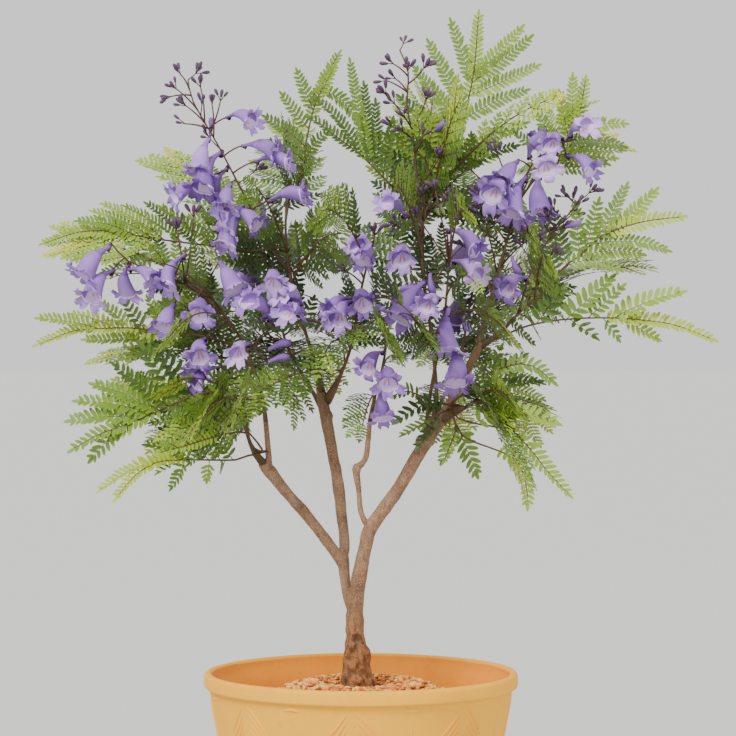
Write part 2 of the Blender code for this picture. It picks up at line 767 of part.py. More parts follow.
def longer(route, spare):
    """The route with each end carried on by the spare length, as tuples of (x, y, z, radius)."""
    ends = []
    for end, near in ((route[0], route[1]), (route[-1], route[-2])):
        outward = (Vector(end[:3]) - Vector(near[:3])).normalized() * spare
        ends.append((*(Vector(end[:3]) + outward), end[3]))
    first, last = ends
    return [first, *route[1:-1], last]


def limb_mesh(name, spare):
    """A limb as a round curve that tapers through its stations, made a welded mesh."""
    curve = bpy.data.curves.new(name, "CURVE")
    curve.dimensions = "3D"
    curve.bevel_depth = 1 * MM
    curve.bevel_resolution = LIMB_BEVEL_RESOLUTION
    curve.use_fill_caps = True
    stations = [(*place(*station[:3]), station[3] + spare / MM) for station in LIMBS[name]]
    route = longer(smooth_route(stations, LIMB_STEP), spare)
    spline = curve.splines.new("POLY")
    spline.points.add(len(route) - 1)
    for point, (x, y, z, radius) in zip(spline.points, route):
        point.co = (x, y, z, 1)
        point.radius = radius
    holder = bpy.data.objects.new(name, curve)
    bpy.context.scene.collection.objects.link(holder)
    mesh = applied(holder)
    mesh.transform(holder.matrix_world)
    bpy.data.objects.remove(holder)
    bpy.data.curves.remove(curve)
    bm = bmesh.new()
    bm.from_mesh(mesh)
    bmesh.ops.remove_doubles(bm, verts=bm.verts[:], dist=0.00002)
    bmesh.ops.triangulate(bm, faces=bm.faces[:])
    bmesh.ops.recalc_face_normals(bm, faces=bm.faces[:])
    bm.to_mesh(mesh)
    bm.free()
    return mesh


def make_limbs(collection, cutters):
    """All limbs, and a slightly fatter copy of each, which cuts what grows from it."""
    fat = {}
    for name in LIMBS:
        obj = new_object(name, limb_mesh(name, 0), collection, "bark")
        fat[name] = new_object(name + "_clearance", limb_mesh(name, CLEARANCE), cutters)
        for parent in GROWS_FROM.get(name, []):
            boolean(obj, "DIFFERENCE", fat[parent])
            keep_largest(obj)
            boolean(fat[name], "DIFFERENCE", fat[parent])
            keep_largest(fat[name])
        obj.data.shade_smooth()
    return fat


def make_mass(name, space, collection, fat):
    mass = MASSES[name]
    stem = stem_of(mass)
    obj = new_object(name, mesh_from(rod(stem, STEM_RADIUS, STEM_SIDES), name), collection, "foliage")
    for limb in fat.values():
        boolean(obj, "DIFFERENCE", limb)
        keep_largest(obj)
    loose = bpy.data.collections.new(name + "_pieces")
    bpy.context.scene.collection.children.link(loose)
    for piece in pieces_of(space, name, mass):
        new_object(name + "_piece", mesh_from(piece, name + "_piece"), loose)
    boolean(obj, "UNION", loose)
    for piece in list(loose.objects):
        bpy.data.objects.remove(piece)
    bpy.data.collections.remove(loose)
    keep_largest(obj)
    return obj


def main():
    for obj in list(bpy.data.objects):
        bpy.data.objects.remove(obj)
    parts = bpy.data.collections.new("blue_jacaranda_in_pot")
    cutters = bpy.data.collections.new("cutters")
    for collection in (parts, cutters):
        bpy.context.scene.collection.children.link(collection)
    make_pot(parts)
    make_soil(parts)
    fat = make_limbs(parts, cutters)
    space = Space()
    for name in MASSES:
        make_mass(name, space, parts, fat)
    for cutter in fat.values():
        cutter.hide_render = True
        cutter.display_type = "WIRE"


main()
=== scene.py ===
"""A dwarf blue jacaranda in flower in its clay pot: the finishes, the bark, the fine foliage and the blossom.

Metres, +Z up. The origin is the centre of the pot's flat underside, +X is right and -Y is the front.
Places in the tables are in millimetres as (x, z, y): x and z are read on the trunk's own plane, as they
line up for an eye in front of the plant, and y carries the place back (+) or forward (-) along that line
of sight. The masses grow by the same rule as the solids that they stand for, carried finer: each blade of
a solid is a pinna here, a small stalk with its paired leaflets.
"""

import math
import random

import bmesh
import bpy
import numpy as np
from mathutils import Matrix, Vector, noise
from mathutils.kdtree import KDTree


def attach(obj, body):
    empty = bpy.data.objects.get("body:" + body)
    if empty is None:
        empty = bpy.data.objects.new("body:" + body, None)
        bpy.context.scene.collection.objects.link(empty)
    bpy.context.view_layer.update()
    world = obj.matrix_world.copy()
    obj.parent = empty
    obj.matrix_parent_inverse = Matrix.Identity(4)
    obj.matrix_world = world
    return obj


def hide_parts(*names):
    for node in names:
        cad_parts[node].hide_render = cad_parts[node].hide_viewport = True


MM = 0.001
UP = Vector((0, 0, 1))
FRONT = Vector((0, -1, 0))
SEED = 11

# --- camera, lamps and floor ---
EYE = Vector((6.7, -2600, 574)) * MM
CAMERA_DIP = 0.75
FOCAL_PIXELS = 2722
FRAME_PIXELS = 736
SENSOR_WIDTH = 36
LAMP_TARGET = Vector((0, 0, 0.5))
# Each lamp's name, kind, strength, colour and place, then how soft it is.
LAMPS = [
    ("key_light", "SUN", 3.4, (1.0, 0.96, 0.88), (-1.8, -2.4, 3.2), "angle", math.radians(24)),
    ("fill_light", "AREA", 26, (1.0, 0.98, 0.96), (2.2, -2.2, 1.2), "size", 2.2),
]
SKY_STRENGTH = 1.15
FLOOR_HALF = 40

# --- pot ---
POT_HEIGHT = 250 * MM
POT_RIM_RADIUS = 150 * MM
POT_MOUTH_RADIUS = 142 * MM
POT_BASE_RADIUS = 101 * MM
POT_BAND_HEIGHT = 14 * MM
POT_BAND_STEP = 5 * MM
POT_LIP = 3.8 * MM
POT_FOOT_ROUND = 3 * MM
POT_WALL = 9 * MM
POT_FLOOR = 14 * MM
POT_SLOPE = 0.19
POT_STEPS = 192

# --- ornament: heights and widths in metres, places and reaches round the wall in radians ---
PANELS = 8
PANEL_SHIFT = 0.06
STROKE_HEIGHT = 1.9 * MM
STROKE_SUNK = 0.5 * MM
STROKE_BEND = 1.5 * MM
EAR_TOP = 231 * MM
EAR_ROWS = 22
EAR_GAP_MM = 7.2
EAR_DROP = 31.25 * MM
EAR_STEM = 0.018
EAR_REACH = 0.2
EAR_STROKE = 3.6 * MM
BAR_FOOT = 60 * MM
BAR_STROKE = 5 * MM
CROSSBAR_REACH = 0.06
CROSSBAR_STROKE = 4.5 * MM

# --- soil and gravel ---
SOIL_TOP = 233 * MM
SOIL_EDGE = 208 * MM
SOIL_FLAT_RADIUS = 48 * MM
SOIL_STEPS = 120
SOIL_FALL = 1.15
CHIPS = 5200
CHIP_SHAPES = 6
CHIP_SIZE = (1.8 * MM, 3.3 * MM)
STONE_MIX = (0, 0, 0, 1, 1, 2, 2, 3, 3, 4)
GRAVEL_MOUND = 7 * MM
GRAVEL_RING = 60 * MM
GRAVEL_SPREAD = 28 * MM
GRAVEL_EDGE_GAP = 5 * MM

# --- bark and twigs: tints by height in metres, and radii as a pair, at the root and at the end ---
BARK_VOXEL = 0.95 * MM
BARK_SIDES = 20
FOOT_TINT = (0.272, 0.322)
# Above these heights the bark turns darker and greener-brown: painted shade of the crown over the upper
# boughs.
CROWN_SHADE_HEIGHTS = (0.455, 0.53)
ROUGH_FOOT_TOP = 0.325
ROUGH_FOOT_FADE = 0.06
LIMB_STEP = 4 * MM
STEM_STEP = 12 * MM
SKELETON_STEP = 4 * MM
STEM_RADIUS = (2.0 * MM, 1.0 * MM)
COLLAR_LENGTH = 20 * MM
AXIS_RADIUS = (1.3 * MM, 0.7 * MM)
RACHIS_RADIUS = (1.1 * MM, 0.55 * MM)
FAN_LEAD_RADIUS = (1.2 * MM, 1.1 * MM)
PINNA_STALK_RADIUS = (0.52 * MM, 0.24 * MM)
PEDICEL_RADIUS = 0.7 * MM
SPRIG_RADIUS = (0.95 * MM, 0.65 * MM)
CLUSTER_RADIUS = (0.8 * MM, 0.6 * MM)
BUD_STALK_RADIUS = (0.6 * MM, 0.5 * MM)

# --- foliage ---
PINNA_GAP = 13.5 * MM
PINNA_GAP_SHARE = 0.27
PINNA_ANGLE = (math.radians(60), math.radians(30))
PINNA_SPAN = (0.2, 0.94)
PINNA_FOLD = 0.08
LEAST_PINNAE = 3
LEAFLET_GAP = 4.3 * MM
LEAFLET_LENGTH = 11.4 * MM
LEAFLET_WIDTH = 0.34
LEAFLET_ANGLE = (math.radians(70), math.radians(46))
LEAFLET_EDGE = ((0.34, 0.07), (0.5, 0.3), (0.48, 0.6), (0.3, 0.87))
FIRST_LEAFLET = 0.07
LAST_LEAFLET = 0.97
COMB_STALK = 5 * MM
COMB_TWIST = 0.16
LEAFLET_SCATTER = 0.08
INFILL = 2
MIDRIB_LEAVES = 0.5
SPACE_SLACK = 8 * MM
LIMB_MARGIN = 1.0 * MM
CROWN_HEIGHT = 0.6
CROWN_HALF = (0.33, 0.5, 0.28)
# How much a comb's place in the crown sets its green: darker inside, yellower at the edge, partly the leaves'
# age and partly painted shade and light of the crown.
GREEN_BY_PLACE = 0.68
GREEN_BY_SHARE = 0.28
GREEN_SHIFT = 0.13
GREEN_SCATTER = 0.08

# --- blossom ---
SHORTEST_BELL = 41 * MM
LOBES_BEYOND_MOUTH = 1.12
SHORTEST_PEDICEL = 4 * MM
BUD_LENGTH = 8.5 * MM
CLOSED_BELL_LENGTH = 19 * MM
BUD_TURN = 2.4
# How near a leaf and a pinna may come to a blossom, and how far in front of it they are kept away.
BLOSSOM_ROOM = 11 * MM
LEAF_DEPTH = 60 * MM
PINNA_ROOM = 12 * MM
PINNA_ASIDE = 14 * MM
PINNA_DEPTH = 150 * MM
# Blossoms farther back than this may be hidden by leaves.
LAST_SEEN = 60 * MM


def place(x, z, y):
    """The point that lines up with (x, z) on the trunk's plane and lies y behind it, in millimetres."""
    flat = Vector((x, 0, z)) * MM
    return EYE + (flat - EYE) * (1 + y * MM / -EYE.y)


# --- limbs: stations of (x, z, y, radius) in millimetres ---
LIMBS = {
    "trunk": [
        (-2, 233.3, 0, 16.5), (-2.5, 242, 0, 14.4), (-4.5, 256, 0, 12.8), (-5, 268, 0, 11.8),
        (-5, 280, 0, 9.8), (-6, 293, 1, 8.8), (-6.3, 305, 1, 8.4),
    ],
    "right_bough": [
        (-6, 298, 1, 8.0), (-6.2, 306, 1, 8.0), (-4.8, 319, 0, 7.8), (-2.4, 337, -2, 7.5),
        (4.5, 370, -6, 6.4), (9.8, 388, -8, 6.7), (34, 422, -12, 6.4), (53, 454, -14, 6.3),
        (71, 483, -15, 6.3), (78, 494, -15, 5.8),
    ],
    "upper_bough": [
        (74, 487, -15, 4.8), (79, 496, -15, 4.8), (86, 508, -14, 4.8), (99, 533, -11, 4.3),
        (115, 564, -8, 3.9),
    ],
    "left_stem": [(-4, 300, 3, 5.6), (-11, 318, 8, 5.6), (-15, 337, 10, 5.2), (-17, 358, 12, 5.8)],
    "middle_bough": [
        (-16.4, 350, 11.3, 5.1), (-17, 359, 12.2, 5.2), (-15.8, 372, 14, 5.2), (-18, 395, 18, 5.2),
        (-21, 423, 22, 5.7), (-28, 464, 27, 5.4), (-34, 495, 30, 6.0), (-39, 522, 32, 4.4),
    ],
    "left_bough": [
        (-16, 350, 10, 5.0), (-27, 367, 7, 5.4), (-53.5, 401, 4, 5.4), (-72, 422, 2, 5.2),
        (-87, 441, 0, 6.3), (-95, 450, -2, 4.8),
    ],
    "left_shoot": [(-87, 441, 0, 3.0), (-88.5, 458, 2, 3.0), (-91, 489, 4, 2.7)],
    "stub_branch": [
        (8, 386, -9, 2.9), (0, 402, -13, 2.8), (-2.2, 423, -14, 2.7), (-4.4, 443, -15, 3.8),
        (3.8, 452, -16, 3.0), (6.7, 471, -18, 2.7), (9, 493, -20, 2.4),
    ],
}
# Swellings of the bark: (x, z, y, radius, height), and hollows: (x, z, y, radius, depth), in millimetres.
SWELLINGS = [
    (2.5, 266, -2, 7, 10), (-12, 242, -5, 8, 9), (8, 239, -4, 6.5, 8), (-2, 240, -10, 8, 7),
    (-5, 284, 0, 9.2, 9), (59, 470, -13, 7.4, 7), (-33, 494, 30, 6.6, 7), (-87, 441, 0, 6.8, 6),
    (-4.4, 443, -15, 4.4, 6), (-1, 241, 9, 9, 7),
]
HOLLOWS = [(-4.3, 281, -9.5, 5.0, 3.4), (60, 475, -20.5, 3.6, 1.6), (-3, 330, -9.5, 2.2, 1.0)]

# --- masses of foliage ---
# tip: radius of the limb that carries it.     stem: points (x, z, y) from inside that limb outwards.
# axes: flower stalks, each a list of points.  fronds: (place on stem, tip x, z, y, pinna, lean, lift).
# A frond's upper face looks up at a lean of 0 and to the front at 90, or to the back at -90. Where a row has
# one more number, it turns that front to the right, in degrees.
# left_out: which fronds aren't grown.         infill: how many grow between the others, or else INFILL.
# inner: more fronds, in rows like those above. They and the infill grow only with LEAST_PINNAE or more.
# flowers: (calyx x, z, y, mouth x, z, y).     bells: closed bells, in the same way.
# clusters: how many clusters of buds stand along each axis.
MASSES = {
    "low_left_foliage": dict(
        tip=4.8, left_out=(4,),
        stem=[(-91, 446, -1), (-101, 458, -7), (-110, 480, -18), (-115, 514, -28)],
        fronds=[
            (1.0, -272, 464, -60, 54, 58, 14), (0.45, -232, 417, -62, 44, 50, 24),
            (0.9, -252, 506, 30, 46, 45, 12), (0.7, -190, 452, 120, 44, -20, 20),
            (0.3, -118, 436, -170, 42, 60, 30, -80), (0.8, -160, 476, -170, 40, 62, 22, -76),
        ],
        inner=[
            (0.6, -150, 500, 120, 40, 62, 16, 80), (0.9, -190, 520, -110, 38, 60, 16, -80),
            (0.6, -172, 520, 60, 38, 50, 14), (0.8, -150, 470, 50, 36, 45, 16),
            (0.4, -122, 486, -150, 38, 62, 30, -84),
        ],
    ),
    "left_foliage": dict(
        tip=2.7,
        stem=[(-90.5, 482, 4), (-96, 520, 6), (-116, 570, 4), (-142, 606, -4)],
        axes=[[(-142, 606, -4), (-185, 628, -8), (-222, 642, -14), (-239, 660, -18)]],
        fronds=[
            (1.0, -299, 659, 22, 42, 52, 20), (0.62, -307, 564, -30, 34, 55, 14),
            (0.45, -257, 548, 60, 34, 20, 12), (0.85, -225, 640, 145, 44, -15, 22),
            (0.7, -190, 560, -170, 40, 62, 25, -78),
        ],
        inner=[
            (0.7, -196, 600, 110, 40, 62, 14, -80), (0.9, -206, 640, -110, 38, 62, 14, -82),
            (0.8, -196, 602, 46, 38, 55, 14), (0.5, -170, 566, 56, 36, 50, 14),
        ],
        flowers=[
            (-239, 657, -20, -269, 622, -34), (-237, 633, -14, -261, 601, -40),
            (-222, 640, -12, -222, 606, 6), (-168, 648, -14, -187, 612, -30),
            (-178, 601, -12, -191, 574, -36), (-156, 606, -8, -155, 586, -42),
            (-148, 566, -6, -160, 530, -24), (-222, 634, -10, -196, 621, -26),
            (-135, 541, -8, -158, 523, -24), (-135, 642, -10, -117, 609, -30),
            (-149, 568, -8, -155, 545, -40),
        ],
    ),
    "upper_left_foliage": dict(
        tip=4.4, left_out=(1,), infill=0, clusters=4,
        stem=[(-38, 517, 31), (-44, 545, 28), (-57, 587, 22), (-68, 630, 14), (-72, 680, 6), (-66, 708, 2)],
        axes=[[
            (-68, 630, 14), (-92, 668, 4), (-112, 706, -4), (-135, 750, -6), (-160, 794, -4),
            (-165, 815, -2),
        ]],
        fronds=[
            (1.0, -24, 838, 8, 42, 80, -6), (0.95, -12, 752, 105, 40, 40, 10),
            (0.6, -198, 742, 110, 42, 30, 16), (0.8, -70, 770, 170, 44, -60, 18),
            (0.55, -10, 664, -140, 40, 62, 20, 80),
        ],
        inner=[
            (0.5, -76, 650, 110, 42, 64, 14, -80), (0.7, -110, 720, -90, 40, 64, 14, -80),
            (0.9, -60, 760, 90, 40, 64, 14, 80), (0.4, -132, 640, 60, 42, 60, 14),
            (0.6, -18, 646, 60, 40, 60, 14), (0.5, -150, 690, 46, 40, 60, 12),
            (0.3, -100, 590, 60, 38, 60, 14),
        ],
        flowers=[
            (-128, 779, -8, -104, 775, -26), (-113, 752, -6, -76, 744, -14), (-101, 737, -8, -64, 735, -16),
            (-88, 699, -2, -49, 705, -12), (-104, 690, -4, -134, 682, -20), (-133, 748, -4, -154, 705, -24),
            (-127, 733, -4, -139, 695, 8), (-123, 690, -4, -98, 675, -18), (-110, 690, -2, -131, 650, -12),
            (-145, 760, -6, -156, 722, -20), (-124, 716, -6, -131, 690, -26), (-152, 716, 2, -178, 704, -8),
            (-112, 696, -2, -130, 664, -14),
        ],
    ),
    "centre_foliage": dict(
        tip=5.2, left_out=(1,),
        stem=[(-33, 508, 31), (-20, 532, 18), (-8, 566, 2), (-2, 604, -10), (6, 640, -14)],
        axes=[[(-8, 566, 2), (-46, 585, -16), (-84, 580, -22), (-104, 560, -22)]],
        fronds=[
            (0.25, -128, 490, -80, 34, 40, 16), (0.45, -44, 520, -185, 38, 12, 24),
            (0.7, 70, 560, -185, 38, 64, 24, 82), (1.0, -40, 690, -150, 38, 64, 18, -82),
        ],
        inner=[
            (0.6, -10, 620, 110, 42, 64, 14, 80), (0.3, -20, 560, 90, 40, 60, 14, -80),
            (0.5, -72, 610, 60, 40, 60, 14), (0.8, 56, 660, 54, 38, 60, 14),
            (0.9, -34, 668, 40, 36, 62, 12), (0.4, 40, 590, 60, 38, 60, 14),
        ],
        flowers=[
            (-8, 606, -14, -32, 593, -36), (12, 644, -14, -4, 656, -38), (-4, 612, -16, 4, 597, -52),
            (-56, 600, -18, -80, 614, -44), (-56, 590, -18, -74, 592, -48),
            (-104, 562, -22, -117, 550, -52), (-84, 582, -20, -112, 606, -48),
            (-87, 633, -16, -83, 616, -46), (-95, 586, -24, -57, 601, -34), (-9, 604, -16, -25, 581, -44),
            (6, 662, -14, 1, 641, -38),
        ],
        bells=[(-89, 557, -22, -67, 565, -24), (-89, 545, -22, -68, 551, -24)],
    ),
    "front_foliage": dict(
        tip=2.4, left_out=(0, 1),
        stem=[(8.6, 489, -20), (13, 512, -30), (20, 538, -42), (24, 560, -50)],
        fronds=[
            (0.3, -60, 462, -170, 34, 10, 22), (0.5, 70, 468, -195, 36, 12, 24),
            (0.9, 26, 560, -230, 34, 60, 16, 84),
        ],
        flowers=[(22, 556, -52, 5, 538, -74), (25, 540, -46, 26, 520, -80), (17, 522, -36, 21, 488, -50)],
    ),
    "top_foliage": dict(
        tip=5.2, clusters=4,
        stem=[(70, 482, -13), (72, 520, -6), (66, 580, 0), (58, 640, 2), (62, 690, 2), (84, 722, 2)],
        axes=[[(60, 665, 2), (54, 715, -2), (50, 758, -4), (44, 790, -4), (45, 822, -2), (37, 843, 0)]],
        fronds=[
            (1.0, 113, 873, 0, 64, 84, 0), (0.86, -47, 779, -10, 46, 66, 12),
            (0.97, 190, 799, -40, 15, 60, 14), (0.8, 70, 812, 125, 48, -50, 12),
            (0.7, 22, 735, 160, 44, -66, 18), (0.66, 30, 716, -160, 38, 64, 18, -80),
        ],
        inner=[
            (0.5, 56, 680, 120, 42, 64, 14, 80), (0.75, 70, 760, 100, 42, 64, 14, -80),
            (0.9, 96, 800, -80, 38, 64, 12, 82), (0.45, 14, 672, 60, 40, 60, 14),
            (0.5, 116, 664, 56, 40, 60, 14), (0.7, 30, 760, 60, 40, 64, 12),
            (0.8, 126, 742, 46, 38, 64, 12), (0.3, 20, 600, 60, 36, 60, 14),
        ],
        flowers=[(42, 683, -4, 22, 699, -28), (44, 654, -4, 38, 640, -42), (50, 618, -2, 46, 600, -40)],
    ),
    "upper_right_foliage": dict(
        tip=3.9,
        stem=[(112, 558, -8), (122, 600, -4), (136, 650, 0), (154, 704, 4), (180, 734, 6)],
        axes=[[(143, 674, 0), (152, 706, -8), (164, 736, -12), (186, 754, -10), (206, 758, -8)]],
        fronds=[
            (1.0, 216, 812, 10, 44, 80, 2), (0.9, 252, 752, 60, 38, 40, 14),
            (0.75, 190, 740, 160, 42, -50, 20), (0.6, 60, 720, 105, 38, 40, 14),
        ],
        inner=[
            (0.6, 160, 680, 110, 42, 64, 14, 80), (0.9, 190, 750, -90, 38, 64, 14, 80),
            (0.4, 190, 664, 50, 40, 60, 14), (0.55, 84, 690, 60, 38, 60, 14),
            (0.3, 86, 620, 50, 36, 60, 14),
        ],
        flowers=[
            (150, 738, -12, 131, 714, -34), (144, 716, -8, 120, 702, -44), (158, 724, -12, 144, 681, -28),
            (170, 724, -12, 172, 682, -30), (176, 738, -12, 178, 728, -46), (196, 742, -10, 216, 730, -24),
            (196, 757, -8, 210, 765, -26), (160, 740, 6, 176, 760, 34), (193, 759, -10, 180, 750, -40),
        ],
        bells=[(144, 647, -6, 152, 629, -8)],
    ),
    "right_foliage": dict(
        tip=3.9, left_out=(3, 4), infill=0, clusters=14,
        stem=[(113, 560, -8), (134, 574, -10), (150, 592, -12), (172, 610, -12)],
        axes=[[(150, 592, -12), (163, 634, -16), (180, 664, -18), (210, 701, -16)]],
        fronds=[
            (1.0, 304, 682, -14, 44, 76, 8), (0.25, 334, 568, -20, 32, 50, 34),
            (0.8, 268, 630, 120, 42, -10, 20), (0.9, 230, 622, -170, 38, 62, 20, 80),
            (0.5, 220, 560, 70, 36, 10, 16),
        ],
        inner=[
            (0.7, 190, 610, 110, 42, 62, 14, 80), (0.4, 170, 570, -110, 38, 60, 16, 80),
            (0.6, 190, 616, 46, 34, 58, 14), (0.9, 176, 640, -150, 36, 62, 18, 84),
        ],
        flowers=[(160, 626, -18, 136, 612, -44)],
    ),
    "low_right_foliage": dict(
        tip=5.2, left_out=(3,),
        stem=[(75, 489, -15), (90, 497, -24), (102, 503, -36), (112, 512, -48)],
        fronds=[
            (0.9, 197, 424, -80, 40, 52, 40), (0.6, 158, 412, -150, 40, 62, 36, 70),
            (1.0, 184, 530, -60, 36, 50, 16), (0.35, 104, 430, -195, 32, 12, 26),
            (0.75, 182, 486, 30, 34, 12, 16), (0.45, 36, 478, -125, 30, 50, 16),
        ],
        inner=[(0.7, 130, 480, 60, 38, 60, 16, 80), (0.9, 150, 500, -150, 36, 60, 14, 80)],
    ),
    "front_right_foliage": dict(
        tip=3.4,
        stem=[(62, 469, -14), (64, 500, -34), (72, 548, -46), (80, 592, -48), (84, 640, -46)],
        fronds=[
            (0.5, 30, 590, -195, 34, 62, 16, -82), (0.7, 150, 560, -195, 36, 62, 20, 80),
            (1.0, 100, 690, -170, 36, 64, 18, 82),
        ],
        flowers=[
            (84, 598, -50, 83, 550, -60), (88, 560, -44, 91, 518, -66), (60, 622, -50, 33, 579, -66),
            (82, 672, -44, 114, 648, -64), (86, 642, -46, 114, 624, -70), (76, 606, -52, 60, 596, -82),
        ],
        bells=[(99, 593, -48, 104, 574, -50), (66, 631, -48, 70, 610, -50)],
    ),
    "back_left_foliage": dict(
        tip=3.6, left_out=(4,), infill=9, clusters=6,
        stem=[(-36, 500, 31), (-50, 524, 60), (-70, 560, 96), (-84, 610, 124)],
        axes=[[(-84, 610, 124), (-92, 650, 136), (-96, 690, 146)]],
        fronds=[
            (1.0, -150, 640, 255, 44, -50, 20), (0.8, -190, 560, 220, 44, -40, 22),
            (0.55, -140, 470, 205, 40, -40, 26), (0.7, 20, 560, 240, 40, -40, 22),
            (0.4, -10, 470, 195, 38, -40, 24),
        ],
        flowers=[
            (-92, 650, 138, -110, 622, 166), (-92, 668, 140, -66, 650, 168),
            (-95, 688, 146, -112, 690, 176), (-84, 610, 126, -70, 586, 158),
        ],
    ),
    "back_right_foliage": dict(
        tip=3.6, left_out=(1,), infill=9, clusters=6,
        stem=[(66, 474, -13), (74, 502, 22), (92, 540, 66), (104, 600, 100)],
        axes=[[(104, 600, 100), (112, 640, 116), (122, 684, 126)]],
        fronds=[
            (1.0, 190, 640, 230, 44, -50, 20), (0.8, 230, 560, 185, 44, -40, 22),
            (0.6, 170, 468, 170, 40, -40, 26), (0.7, 70, 540, 265, 40, -50, 22),
            (0.45, 84, 462, 185, 38, -40, 24),
        ],
        flowers=[
            (112, 640, 118, 134, 612, 148), (114, 658, 120, 92, 640, 156), (121, 680, 126, 142, 684, 158),
            (104, 606, 104, 88, 584, 140),
        ],
    ),
}

